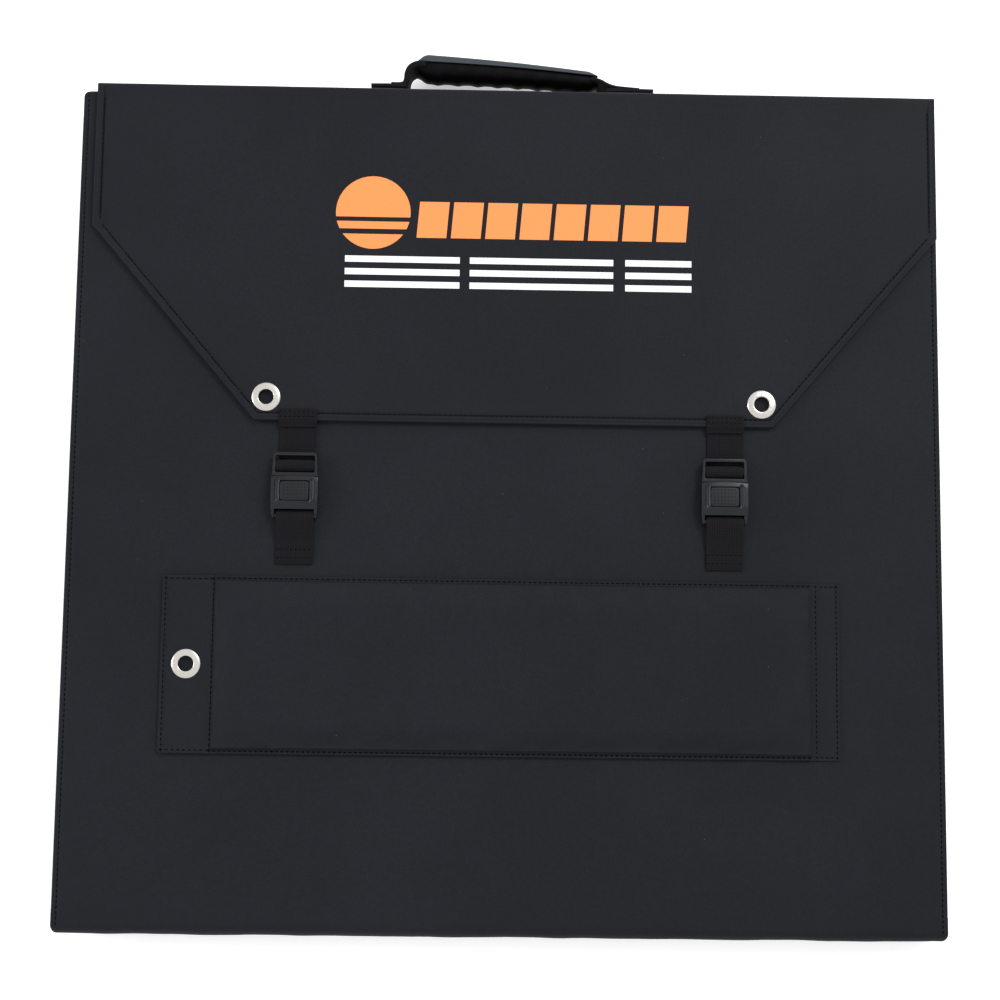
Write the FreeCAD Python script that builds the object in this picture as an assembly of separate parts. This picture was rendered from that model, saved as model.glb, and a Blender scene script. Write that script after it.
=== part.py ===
# Folding solar blanket, closed and lying on its back cover, in millimetres.
# +Z leaves the front cover, +Y points to the carrying handle and +X to the front's right side.
# The origin is the centre of the back cover's outer face. Panel 1 is the front cover, panel 6 the back cover.
import FreeCAD, Part
import math
import os

os.makedirs("parts", exist_ok=True)

# Panels, folded in a zigzag
panel_count = 6
panel_w = 565.0
panel_h = 533.0            # the stiff part, between its two soft folds
panel_t = 6.0
panel_gap = 0.6            # air between two folded panels
corner_r = 4.0
border = 10.0              # fabric border round a solar sheet
skin_t = 1.0               # fabric behind the stiffening board
board_t = 3.0
sheet_t = 1.4              # laminated solar sheet
fit_gap = 0.3              # round everything that lies in a pocket
cell_side = 125.0
cell_gap = 2.0
cell_margin = 3.0
cell_rise = 0.2

# Soft folds between panels
fold_cloth_t = 0.8
edge_gap = 0.5             # from a panel's end to the fold's axis

# Spine and closing flap
spine_gap = 0.6            # from the folds' outermost line to the spine
spine_seam_gap = 0.4       # from the first and last panel's top edge to the spine
spine_board_t = 1.0
spine_cloth_t = 0.8
spine_lift = 0.6           # the spine's lower edge above the ground
flap_w = 555.0
flap_shift = 4.5           # flap and spine sit this far right of the middle
flap_drop = 222.0          # from the flap's hinge line to its lower edge
flap_side = 94.0           # straight part of each side
flap_tip_w = 337.0         # the lower edge, between its cut-off corners
flap_air = 1.0             # under the flap
flap_lining_t = 0.6
flap_stiffener_t = 1.0
flap_cloth_t = 0.8
flap_hem = 8.0
flap_edge_gap = 0.3

# Eyelets
eyelet_bore_r = 4.9
eyelet_wall = 0.8
eyelet_flange_r = 9.3
eyelet_flange_t = 0.9
eyelet_washer_t = 0.7
eyelet_gap = 0.2
flap_eyelet_inset = 7.5    # from the end of the flap's lower edge
flap_eyelet_rise = 15.3    # above the flap's lower edge

# Support leg
leg_w = 434.5
leg_h = 113.5
leg_x = -2.0
leg_strap_gap = 8.3        # from the straps' sewn ends to the leg's upper edge
leg_tab_w = 31.0
leg_strip_w = 19.0
leg_t = 5.3
leg_tab_t = 1.6
leg_cloth_t = 1.1
leg_seam_w = 4.0
leg_lift = 0.3
leg_strip_t = 1.2
leg_hinge_gap = 0.5
leg_eyelet_inset = 16.5

# Straps and buckles
strap_shift = 2.2          # the straps' middle, right of the panels' middle
strap_spacing = 277.0
strap_w = 25.0
strap_t = 1.4
strap_lift = 0.4
strap_gap = 0.3
upper_strap_bare = 21.7    # from the flap's lower edge to the male frame
male_side = 1.9
male_h = 15.0
male_t = 5.5
ladder_bar = 3.0
ladder_slot = 3.4
female_h = 21.2
female_t = 9.0
female_wall = 1.6
female_side = 4.1
socket_floor_gap = 0.4
horn_len = 5.8
horn_t = 2.2
bar_r = 1.6
button_w = 18.5
button_h = 12.8
button_t = 2.7
button_travel = 2.0
button_proud = 0.3         # below the body's upper face
button_gap = 0.25
button_inset = 3.4
tongue_w = 5.0
tongue_t = 1.8
tongue_len = 15.0
tongue_pitch = 13.0
spring_t = 0.4
spring_w = 6.0
anchor_len = 13.0
lower_strap_bare = 28.7    # from the horns' ends to the sewn end's far edge
tab_len = 7.0
doubled_len = 5.0          # webbing folded double below the flap's edge

# Carrying handle
patch_w_left = 23.4
patch_w_right = 30.8
patch_x_left = -81.6
patch_x_right = 80.0
patch_t = 1.4
grip_len = 117.0
grip_reach_left = 18.8     # grip's centre line from the spine's outer face
grip_reach_right = 13.0
grip_depth_left = 16.0
grip_depth_right = 10.0
grip_high = 22.0
grip_cover_t = 1.4
grip_band_low = 2.0        # the cover's lower edge, outward of the grip's centre line
handle_strap_t = 1.6
handle_foot_gap = 0.3

# Junction box and output gland
box_w = 70.0
box_h = 48.0
box_inset_x = 37.5         # from the pocket's left side
box_inset_y = 32.5         # from the pocket's upper side
gland_bore_r = 1.3
gland_r = 2.2
gland_flange_r = 2.8
gland_flange_t = 1.2

# Worked out from the values above
pitch = panel_t + panel_gap
stack_t = panel_count * pitch - panel_gap
panel_end = panel_h / 2
box_x = -panel_w / 2 + border + box_inset_x + box_w / 2
box_y = panel_end - border - box_inset_y - box_h / 2
fold_y = panel_end + edge_gap
fold_r = panel_t + panel_gap / 2
spine_in = fold_y + fold_r + spine_gap
spine_mid = spine_in + spine_board_t
spine_out = spine_mid + spine_cloth_t
flap_hinge_z = stack_t + flap_air / 2
flap_low = stack_t + flap_air
flap_core = flap_low + flap_lining_t
flap_top = flap_core + flap_stiffener_t + flap_cloth_t
flap_end_y = spine_out - flap_drop
male_top_y = flap_end_y - upper_strap_bare
seam_y = male_top_y - male_h
female_low_y = seam_y - strap_gap - female_h
female_floor = stack_t + 2 * strap_gap
female_top = female_floor + female_t
strap_floor = stack_t + strap_lift
male_floor = strap_floor + strap_t + strap_gap
male_w = strap_w + 2 * (strap_gap + male_side)
female_w = strap_w + 2 * (strap_gap + horn_t)
socket_w = female_w - 2 * female_side
anchor_y0 = female_low_y - horn_len - lower_strap_bare
anchor_y1 = anchor_y0 + anchor_len
sides = {"left": strap_shift - strap_spacing / 2, "right": strap_shift + strap_spacing / 2}
leg_y = anchor_y0 - leg_strap_gap - leg_h / 2
leg_left = leg_x - leg_w / 2
leg_right = leg_x + leg_w / 2
leg_floor = stack_t + leg_lift
leg_hinge_x = leg_right - leg_strip_w


def box(x0, x1, y0, y1, z0, z1):
    return Part.makeBox(x1 - x0, y1 - y0, z1 - z0, FreeCAD.Vector(x0, y0, z0))


def rod_x(r, x0, x1, y, z):
    return Part.makeCylinder(r, x1 - x0, FreeCAD.Vector(x0, y, z), FreeCAD.Vector(1, 0, 0))


def rod_z(r, x, y, z0, z1):
    return Part.makeCylinder(r, z1 - z0, FreeCAD.Vector(x, y, z0))


def rounded(shape, r):
    """Rounds the corners that stand along Z."""
    upright = [e for e in shape.Edges if abs(e.tangentAt(e.FirstParameter).z) > 0.99]
    return shape.makeFillet(r, upright)


def save(name, *solids):
    shape = solids[0] if len(solids) == 1 else Part.makeCompound(list(solids))
    shape.exportStep("parts/" + name + ".step")
    print(name, round(shape.Volume / 1000, 2), "cm3")


def panel_floor(n):
    return (panel_count - n) * pitch


def panel_top_y(n):
    return spine_in - spine_seam_gap if n in (1, panel_count) else panel_end


def eyelet(x, y, z_low, z_high):
    """Grommet and washer, closed on cloth that lies between z_low and z_high."""
    barrel_r = eyelet_bore_r + eyelet_wall
    body = rod_z(barrel_r, x, y, z_low - eyelet_washer_t, z_high + eyelet_flange_t)
    body = body.fuse(rod_z(eyelet_flange_r, x, y, z_low - eyelet_washer_t, z_low))
    body = body.fuse(rod_z(eyelet_flange_r, x, y, z_high, z_high + eyelet_flange_t))
    body = body.cut(rod_z(eyelet_bore_r, x, y, z_low - 1, z_high + 2)).removeSplitter()
    rim = [e for e in body.Edges if abs(e.BoundBox.ZMax - z_high - eyelet_flange_t) < 0.01
           and abs(e.BoundBox.ZLength) < 0.01]
    return body.makeFillet(eyelet_flange_t * 0.4, rim)


def eyelet_hole(x, y, z0, z1):
    return rod_z(eyelet_bore_r + eyelet_wall + eyelet_gap, x, y, z0, z1)


# --- Panels: a fabric cover with a pocket, its board and its solar sheet ---

def panel_cover(n):
    z = panel_floor(n)
    cover = box(-panel_w / 2, panel_w / 2, -panel_end, panel_top_y(n), z, z + panel_t)
    cover = rounded(cover, corner_r)
    sun_up = n % 2 == 0
    low = z + skin_t if sun_up else z
    return cover.cut(box(-panel_w / 2 + border, panel_w / 2 - border, -panel_end + border,
                         panel_end - border, low, low + panel_t - skin_t))


def panel_board(n):
    z = panel_floor(n) + (skin_t if n % 2 == 0 else panel_t - skin_t - board_t)
    half_w = panel_w / 2 - border - fit_gap
    half_h = panel_end - border - fit_gap
    board = box(-half_w, half_w, -half_h, half_h, z, z + board_t)
    if n == panel_count:
        board = board.cut(box(box_x - box_w / 2 - fit_gap, box_x + box_w / 2 + fit_gap,
                              box_y - box_h / 2 - fit_gap, box_y + box_h / 2 + fit_gap, z, z + board_t))
    return board


def fitting_cells(room):
    return int((room - 2 * cell_margin + cell_gap) // (cell_side + cell_gap))


def solar_sheet(n):
    """Backing sheet with its square cells raised on the side that faces the sun."""
    half_w = panel_w / 2 - border - fit_gap
    half_h = panel_end - border - fit_gap
    sun_up = n % 2 == 0
    low = panel_floor(n) + (skin_t + board_t if sun_up else panel_t - skin_t - board_t - sheet_t)
    sheet = box(-half_w, half_w, -half_h, half_h, low, low + sheet_t)
    across = fitting_cells(2 * half_w)
    along = fitting_cells(2 * half_h)
    step = cell_side + cell_gap
    cell_low = low + sheet_t if sun_up else low - cell_rise
    cells = []
    for i in range(across):
        for j in range(along):
            x = (i - across / 2) * step + cell_gap / 2
            y = (j - along / 2) * step + cell_gap / 2
            cells.append(box(x, x + cell_side, y, y + cell_side, cell_low, cell_low + cell_rise))
    return sheet.fuse(cells)


def fold_strip(n):
    """Half tube of cloth that joins panel n to panel n + 1, with a lip to each panel's end."""
    side = -1 if n % 2 else 1
    z = panel_floor(n) - panel_gap / 2
    half = panel_w / 2 - corner_r
    inner_r = fold_r - fold_cloth_t
    tube = rod_x(fold_r, -half, half, side * fold_y, z).cut(rod_x(inner_r, -half, half, side * fold_y, z))
    outer = sorted((side * fold_y, side * (fold_y + fold_r)))
    tube = tube.common(box(-half, half, outer[0], outer[1], z - fold_r, z + fold_r))
    lip = sorted((side * panel_end, side * fold_y))
    tube = tube.fuse(box(-half, half, lip[0], lip[1], z + inner_r, z + fold_r))
    return tube.fuse(box(-half, half, lip[0], lip[1], z - fold_r, z - inner_r)).removeSplitter()


def junction_box():
    z = skin_t
    return rounded(box(box_x - box_w / 2, box_x + box_w / 2, box_y - box_h / 2, box_y + box_h / 2,
                       z, z + board_t), corner_r)


def gland():
    """Flanged rubber bush through the back cover's left side wall."""
    z = panel_t / 2
    x_in = -panel_w / 2 + border
    x_out = -panel_w / 2
    bush = rod_x(gland_r, x_out, x_in, box_y, z)
    bush = bush.fuse(rod_x(gland_flange_r, x_out - gland_flange_t, x_out, box_y, z))
    return bush.cut(rod_x(gland_bore_r, x_out - gland_flange_t, x_in, box_y, z))


for n in range(1, panel_count + 1):
    cover = panel_cover(n)
    if n == panel_count:
        cover = cover.cut(rod_x(gland_r + eyelet_gap / 2, -panel_w / 2, -panel_w / 2 + border, box_y, panel_t / 2))
    save("panel_cover_%d" % n, cover)
    save("panel_board_%d" % n, panel_board(n))
    save("solar_sheet_%d" % n, solar_sheet(n))
    if n < panel_count:
        save("fold_strip_%d%d" % (n, n + 1), fold_strip(n))
save("junction_box", junction_box())
save("cable_gland", gland())


# --- Spine: covers the stack's top end and carries the handle ---

spine_x0 = flap_shift - flap_w / 2
spine_x1 = flap_shift + flap_w / 2
bridge_low = stack_t - panel_t / 2
spine_cover = box(spine_x0, spine_x1, spine_mid, spine_out, spine_lift, stack_t)
spine_cover = spine_cover.fuse(box(spine_x0, spine_x1, panel_top_y(1), spine_mid, bridge_low, stack_t))
save("spine_cover", spine_cover.removeSplitter())
save("spine_board", box(spine_x0 + fit_gap, spine_x1 - fit_gap, spine_in, spine_mid,
                        spine_lift + skin_t, bridge_low - fit_gap))


# --- Closing flap ---

def flap_outline(z):
    top = spine_out - flap_edge_gap
    side_end = spine_out - flap_side
    corners = [(-flap_w / 2, top), (-flap_w / 2, side_end), (-flap_tip_w / 2, flap_end_y),
               (flap_tip_w / 2, flap_end_y), (flap_w / 2, side_end), (flap_w / 2, top)]
    points = [FreeCAD.Vector(flap_shift + x, y, z) for x, y in corners]
    return Part.Face(Part.makePolygon(points + points[:1]))


def flap_slab(z0, z1, inset=0.0):
    face = flap_outline(z0)
    if inset:
        face = face.makeOffset2D(-inset)
    return face.extrude(FreeCAD.Vector(0, 0, z1 - z0))


flap_eyelet_y = flap_end_y + flap_eyelet_rise
flap_eyelet_xs = [flap_shift + s * (flap_tip_w / 2 - flap_eyelet_inset) for s in (-1, 1)]
lining = flap_slab(flap_low, flap_core)
outer_cloth = flap_slab(flap_core, flap_top).cut(flap_slab(flap_core, flap_core + flap_stiffener_t, flap_hem))
stiffener = flap_slab(flap_core, flap_core + flap_stiffener_t, flap_hem + fit_gap)
for x in flap_eyelet_xs:
    lining = lining.cut(eyelet_hole(x, flap_eyelet_y, flap_low - 1, flap_top + 1))
    outer_cloth = outer_cloth.cut(eyelet_hole(x, flap_eyelet_y, flap_low - 1, flap_top + 1))
    stiffener = stiffener.cut(rod_z(eyelet_flange_r, x, flap_eyelet_y, flap_low - 1, flap_top + 1))
save("flap_lining", lining)
save("flap_cover", outer_cloth)
save("flap_stiffener", stiffener)
save("flap_eyelets", *[eyelet(x, flap_eyelet_y, flap_low, flap_top) for x in flap_eyelet_xs])

# Soft fold between spine and flap, round the flap's hinge line
bend_r = flap_top - flap_hinge_z
bend = rod_x(bend_r, spine_x0, spine_x1, spine_out, flap_hinge_z)
bend = bend.cut(rod_x(bend_r - fold_cloth_t, spine_x0, spine_x1, spine_out, flap_hinge_z))
bend = bend.common(box(spine_x0, spine_x1, spine_out, spine_out + bend_r,
                       flap_hinge_z - bend_r, flap_hinge_z + bend_r))
bend = bend.fuse(box(spine_x0, spine_x1, spine_out - flap_edge_gap, spine_out, flap_top - fold_cloth_t, flap_top))
save("flap_fold", bend.removeSplitter())


# --- Support leg on the front cover ---

leg_low_y = leg_y - leg_h / 2
leg_high_y = leg_y + leg_h / 2
tab_end = leg_left + leg_tab_w
tab_floor = leg_floor + eyelet_washer_t
leg_end = leg_hinge_x - leg_hinge_gap
leg_cover = box(tab_end, leg_end, leg_low_y, leg_high_y, leg_floor, leg_floor + leg_t)
leg_cover = leg_cover.fuse(box(leg_left, tab_end, leg_low_y, leg_high_y, tab_floor, tab_floor + leg_tab_t))
leg_cover = leg_cover.cut(box(tab_end + leg_seam_w, leg_end, leg_low_y + leg_seam_w, leg_high_y - leg_seam_w,
                              leg_floor + leg_cloth_t, leg_floor + leg_t - leg_cloth_t))
leg_eyelet_x = leg_left + leg_eyelet_inset
leg_cover = leg_cover.cut(eyelet_hole(leg_eyelet_x, leg_y, leg_floor, leg_floor + leg_t))
save("leg_cover", leg_cover.removeSplitter())
save("leg_board", box(tab_end + leg_seam_w + fit_gap, leg_end - fit_gap, leg_low_y + leg_seam_w + fit_gap,
                      leg_high_y - leg_seam_w - fit_gap, leg_floor + leg_cloth_t, leg_floor + leg_t - leg_cloth_t))
save("leg_eyelet", eyelet(leg_eyelet_x, leg_y, tab_floor, tab_floor + leg_tab_t))
save("leg_hinge_strip", box(leg_hinge_x + leg_hinge_gap, leg_right, leg_low_y, leg_high_y,
                            stack_t, stack_t + leg_strip_t))


# --- Straps and buckles, one set a side ---

ring_r = bar_r + strap_gap + strap_t
bar_z = strap_floor + ring_r
bar_y = female_low_y - horn_len + bar_r + strap_gap
button_low = female_top - button_proud - button_t
button_y1 = seam_y - button_inset
button_y0 = button_y1 - button_h
socket_floor = female_floor + female_wall
tongue_floor = socket_floor + socket_floor_gap


def strap_box(x, y0, y1, z0, z1):
    return box(x - strap_w / 2, x + strap_w / 2, y0, y1, z0, z1)


def upper_strap(x):
    """Webbing that hangs from the flap, doubled where it leaves the flap's edge."""
    end = flap_end_y - 2 * strap_gap
    flat = strap_box(x, seam_y + ladder_bar, end, strap_floor, strap_floor + strap_t)
    return flat.fuse(strap_box(x, end - doubled_len, end, strap_floor + strap_t, strap_floor + 2 * strap_t))


def male_frame(x):
    """Ladder frame: three bars across two slots, the middle one raised for the webbing loop."""
    top = male_floor + male_t
    frame = rounded(box(x - male_w / 2, x + male_w / 2, seam_y, male_top_y, male_floor, top), 1.5)
    slot_half = strap_w / 2 + strap_gap
    for k in (0, 1):
        low = seam_y + ladder_bar + k * (male_h - 2 * ladder_bar - ladder_slot)
        frame = frame.cut(box(x - slot_half, x + slot_half, low, low + ladder_slot, male_floor, top))
    middle = seam_y + male_h / 2
    under = ladder_slot
    return frame.cut(box(x - slot_half, x + slot_half, middle - under, middle + under,
                         male_floor, male_floor + strap_t + strap_gap))


def buckle_loop(x):
    """Turn of webbing round the male frame's middle bar."""
    middle = seam_y + male_h / 2
    bar_half = (male_h - 2 * ladder_bar - 2 * ladder_slot) / 2
    inner = bar_half + strap_gap / 2
    outer = inner + strap_t * 0.9
    top = male_floor + male_t + strap_gap
    loop = strap_box(x, middle - outer, middle + outer, male_floor + 0.1, top + strap_t * 0.9)
    return loop.cut(strap_box(x, middle - inner, middle + inner, male_floor + strap_t, top))


def male_tongues(x):
    prongs = []
    for s in (-1, 1):
        middle = x + s * tongue_pitch / 2
        prongs.append(box(middle - tongue_w / 2, middle + tongue_w / 2, seam_y - tongue_len, seam_y,
                          tongue_floor, tongue_floor + tongue_t))
    return prongs


def female_body(x):
    """Socket with a window for the button, two horns and the bar that holds the lower strap."""
    half = female_w / 2
    low_y = female_low_y
    body = rounded(box(x - half, x + half, low_y, seam_y - strap_gap, female_floor, female_top), 2.5)
    horn_floor = female_floor + strap_gap
    for s in (-1, 1):
        edge = sorted((x + s * half, x + s * (half - horn_t)))
        body = body.fuse(box(edge[0], edge[1], low_y - horn_len, low_y + 2.5, horn_floor, bar_z + ring_r))
    body = body.fuse(rod_x(bar_r, x - half + horn_t / 2, x + half - horn_t / 2, bar_y, bar_z))
    socket_y = seam_y - tongue_len - strap_gap - 1.0
    body = body.cut(box(x - socket_w / 2, x + socket_w / 2, socket_y, seam_y, socket_floor,
                        button_low - 0.1))
    body = body.cut(box(x - button_w / 2 - button_gap, x + button_w / 2 + button_gap,
                        button_y0 - button_gap, button_y1 + button_gap, button_low - 0.2, female_top + 1))
    return body.removeSplitter()


def release_button(x):
    key = box(x - button_w / 2, x + button_w / 2, button_y0, button_y1, button_low, button_low + button_t)
    return rounded(key, 1.5)


def button_spring(x):
    """Bent leaf between the two tongues, under the button."""
    z0 = socket_floor + spring_t / 2
    z1 = button_low - spring_t / 2
    rise = (z1 - z0) / 2
    y_near = button_y0 + 2
    y_far = button_y1 - 2
    leaf = []
    for a, b in (((y_near, z0), (y_far, z0 + rise)), ((y_far, z0 + rise), (y_near, z1))):
        run = math.hypot(b[0] - a[0], b[1] - a[1])
        tilt = math.degrees(math.atan2(b[1] - a[1], b[0] - a[0]))
        arm = box(x - spring_w / 2, x + spring_w / 2, 0, run, -spring_t / 2, spring_t / 2)
        arm.rotate(FreeCAD.Vector(0, 0, 0), FreeCAD.Vector(1, 0, 0), tilt)
        arm.translate(FreeCAD.Vector(0, a[0], a[1]))
        leaf.append(arm)
    spring = leaf[0].fuse(leaf[1])
    return spring.common(box(x - spring_w, x + spring_w, y_near - 2, y_far + 2, socket_floor, button_low))


def lower_strap(x):
    """Free length of webbing from the sewn end to its eye round the female bar."""
    start = anchor_y1 + strap_gap
    strap = strap_box(x, start, bar_y, strap_floor, strap_floor + strap_t)
    eye = rod_x(ring_r, x - strap_w / 2, x + strap_w / 2, bar_y, bar_z)
    strap = strap.fuse(eye).cut(rod_x(bar_r + strap_gap, x - strap_w / 2, x + strap_w / 2, bar_y, bar_z))
    return strap.removeSplitter()


for side, x in sides.items():
    save("upper_strap_" + side, upper_strap(x).removeSplitter())
    save("male_frame_" + side, male_frame(x))
    save("buckle_loop_" + side, buckle_loop(x))
    save("male_tongues_" + side, *male_tongues(x))
    save("female_body_" + side, female_body(x))
    save("release_button_" + side, release_button(x))
    save("button_spring_" + side, button_spring(x))
    save("lower_strap_" + side, lower_strap(x))
save("flap_strap_tabs", *[strap_box(x, flap_end_y + strap_gap, flap_end_y + strap_gap + tab_len,
                                    flap_top, flap_top + strap_t) for x in sides.values()])
save("strap_anchors", *[strap_box(x, anchor_y0, anchor_y1, stack_t, stack_t + strap_t) for x in sides.values()])


# --- Carrying handle on the spine ---

handle_z = stack_t / 2
handle_low = handle_z - strap_w / 2
handle_high = handle_z + strap_w / 2


def handle_patch(x, width):
    return box(x - width / 2, x + width / 2, spine_out, spine_out + patch_t, handle_low, handle_high)


def ribbon(points):
    """Webbing on edge, through points given as x and y."""
    half = handle_strap_t / 2
    strip = None
    for (xa, ya), (xb, yb) in zip(points, points[1:]):
        run = math.hypot(xb - xa, yb - ya)
        piece = box(0, run, -half, half, handle_low, handle_high)
        piece = piece.fuse(rod_z(half, 0, 0, handle_low, handle_high))
        piece.rotate(FreeCAD.Vector(0, 0, 0), FreeCAD.Vector(0, 0, 1), math.degrees(math.atan2(yb - ya, xb - xa)))
        piece.translate(FreeCAD.Vector(xa, ya, 0))
        strip = piece if strip is None else strip.fuse(piece)
    return strip.removeSplitter()


def grip_section(x, y, depth, grow=0.0):
    """Oval section of the grip, longer along Z than along Y."""
    high = grip_high / 2 + grow
    deep = depth / 2 + grow
    oval = Part.Ellipse(FreeCAD.Vector(x, y, handle_z + high), FreeCAD.Vector(x, y + deep, handle_z),
                        FreeCAD.Vector(x, y, handle_z))
    return Part.Wire([oval.toShape()])


grip_y_left = spine_out + grip_reach_left
grip_y_right = spine_out + grip_reach_right


def grip_loft(grow):
    ends = [grip_section(-grip_len / 2, grip_y_left, grip_depth_left, grow),
            grip_section(grip_len / 2, grip_y_right, grip_depth_right, grow)]
    return Part.makeLoft(ends, True)


grip_core = grip_loft(0.0)
slope = math.degrees(math.atan2(grip_y_right - grip_y_left, grip_len))
upper_half = box(-grip_len, grip_len, grip_band_low, grip_depth_left * 2, handle_z - grip_high, handle_z + grip_high)
upper_half.rotate(FreeCAD.Vector(0, 0, 0), FreeCAD.Vector(0, 0, 1), slope)
upper_half.translate(FreeCAD.Vector(0, (grip_y_left + grip_y_right) / 2, 0))
grip_cover = grip_loft(grip_cover_t).cut(grip_core).common(upper_half)
foot_y = spine_out + patch_t + handle_foot_gap + handle_strap_t / 2
inner_left = patch_x_left + patch_w_left / 2
inner_right = patch_x_right - patch_w_right / 2
grip_gap = handle_strap_t / 2 + 0.2
save("handle_patch_left", handle_patch(patch_x_left, patch_w_left))
save("handle_patch_right", handle_patch(patch_x_right, patch_w_right))
save("handle_strap_left", ribbon([(inner_left, foot_y), (inner_left + 4, grip_y_left),
                                  (-grip_len / 2 - grip_gap, grip_y_left)]))
save("handle_strap_right", ribbon([(grip_len / 2 + grip_gap, grip_y_right), (inner_right + 2, foot_y)]))
save("grip_core", grip_core)
save("grip_cover", grip_cover)
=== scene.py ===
# Folding solar blanket: the looks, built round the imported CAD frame.
import bpy, bmesh
import math
from mathutils import Matrix, Vector, noise


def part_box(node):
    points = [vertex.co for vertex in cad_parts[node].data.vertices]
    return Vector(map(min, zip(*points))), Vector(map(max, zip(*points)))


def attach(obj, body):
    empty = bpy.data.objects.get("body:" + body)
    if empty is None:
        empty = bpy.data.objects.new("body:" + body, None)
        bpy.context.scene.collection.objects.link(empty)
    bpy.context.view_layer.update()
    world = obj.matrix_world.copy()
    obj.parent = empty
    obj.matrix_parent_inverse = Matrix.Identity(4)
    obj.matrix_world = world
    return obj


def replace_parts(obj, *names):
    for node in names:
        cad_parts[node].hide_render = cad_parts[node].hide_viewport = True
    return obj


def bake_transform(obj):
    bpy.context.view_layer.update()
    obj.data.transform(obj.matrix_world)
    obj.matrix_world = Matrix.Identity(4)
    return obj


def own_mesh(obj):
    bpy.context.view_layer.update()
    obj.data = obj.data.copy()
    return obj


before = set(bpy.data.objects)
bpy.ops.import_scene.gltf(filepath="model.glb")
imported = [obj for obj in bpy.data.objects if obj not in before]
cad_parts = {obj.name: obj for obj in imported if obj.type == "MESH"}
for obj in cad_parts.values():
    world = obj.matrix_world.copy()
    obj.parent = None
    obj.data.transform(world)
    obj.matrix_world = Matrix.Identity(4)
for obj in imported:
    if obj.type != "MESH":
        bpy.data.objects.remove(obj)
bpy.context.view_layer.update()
mm = 0.001
scene = bpy.context.scene
print("frame loaded:", len(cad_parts), "nodes")


# camera: nearly straight above, nearer the lower edge and turned a little
camera = {"place": (-0.03055, -0.16617, 1.30843), "turn": (7.628, -1.288, 0.690), "lens": 71.335}
cameraData = bpy.data.cameras.new("camera")
cameraData.lens = camera["lens"]
cameraObject = bpy.data.objects.new("camera", cameraData)
cameraObject.location = camera["place"]
cameraObject.rotation_euler = [math.radians(a) for a in camera["turn"]]
scene.collection.objects.link(cameraObject)
scene.camera = cameraObject


# meshes are made in millimetres and scaled at the last step

def toObject(name, bm, material, sharp=38.0):
    mesh = bpy.data.meshes.new(name)
    bm.normal_update()
    bm.to_mesh(mesh)
    bm.free()
    mesh.transform(Matrix.Scale(mm, 4))
    mesh.materials.append(material)
    mesh.shade_smooth()
    mesh.set_sharp_from_angle(angle=math.radians(sharp))
    made = bpy.data.objects.new(name, mesh)
    scene.collection.objects.link(made)
    return made


def bakeModifiers(made):
    dg = bpy.context.evaluated_depsgraph_get()
    mesh = bpy.data.meshes.new_from_object(made.evaluated_get(dg))
    made.modifiers.clear()
    old, made.data = made.data, mesh
    mesh.name = made.name
    bpy.data.meshes.remove(old)
    return made


def boxMm(node):
    lo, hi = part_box(node)
    return lo / mm, hi / mm


def steps(a, b, size):
    count = max(1, round(abs(b - a) / size))
    return [a + (b - a) * i / count for i in range(count + 1)]


def linesBetween(a, b, size, nearEdge):
    # grid lines from a to b: close together near both ends, even between them
    low = [a + d for d in nearEdge]
    high = [b - d for d in reversed(nearEdge)]
    return low[:-1] + steps(low[-1], high[0], size) + high[1:]


def addSlab(bm, xs, ys, topAt, lowAt, placeAt=None):
    # closed slab on a grid of lines: topAt and lowAt give z, placeAt moves x and y
    def layer(heightAt):
        rows = []
        for y in ys:
            row = []
            for x in xs:
                px, py = placeAt(x, y) if placeAt else (x, y)
                row.append(bm.verts.new((px, py, heightAt(px, py))))
            rows.append(row)
        return rows
    top, low = layer(topAt), layer(lowAt)
    nx, ny = len(xs), len(ys)
    for j in range(ny - 1):
        for i in range(nx - 1):
            bm.faces.new((top[j][i], top[j][i + 1], top[j + 1][i + 1], top[j + 1][i]))
            bm.faces.new((low[j][i], low[j + 1][i], low[j + 1][i + 1], low[j][i + 1]))
    ring = [(0, i) for i in range(nx - 1)] + [(j, nx - 1) for j in range(ny - 1)]
    ring += [(ny - 1, i) for i in range(nx - 1, 0, -1)] + [(j, 0) for j in range(ny - 1, 0, -1)]
    for (ja, ia), (jb, ib) in zip(ring, ring[1:] + ring[:1]):
        bm.faces.new((top[ja][ia], low[ja][ia], low[jb][ib], top[jb][ib]))


def slab(name, material, xs, ys, topAt, lowAt, placeAt=None, sharp=38.0):
    bm = bmesh.new()
    addSlab(bm, xs, ys, topAt, lowAt, placeAt)
    return toObject(name, bm, material, sharp)


def skinRings(bm, rings, closed=False):
    # skin over closed rings, with flat ends unless it closes on itself
    count = len(rings[0])
    pairs = list(zip(rings, rings[1:])) + ([(rings[-1], rings[0])] if closed else [])
    for a, b in pairs:
        for k in range(count):
            bm.faces.new((a[k], a[(k + 1) % count], b[(k + 1) % count], b[k]))
    if not closed:
        bm.faces.new(list(reversed(rings[0])))
        bm.faces.new(rings[-1])
    bmesh.ops.recalc_face_normals(bm, faces=bm.faces)


def addLoft(bm, sections, closed=False):
    skinRings(bm, [[bm.verts.new(p) for p in section] for section in sections], closed)


def loft(name, material, sections, closed=False, sharp=38.0):
    bm = bmesh.new()
    addLoft(bm, sections, closed)
    return toObject(name, bm, material, sharp)


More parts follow.
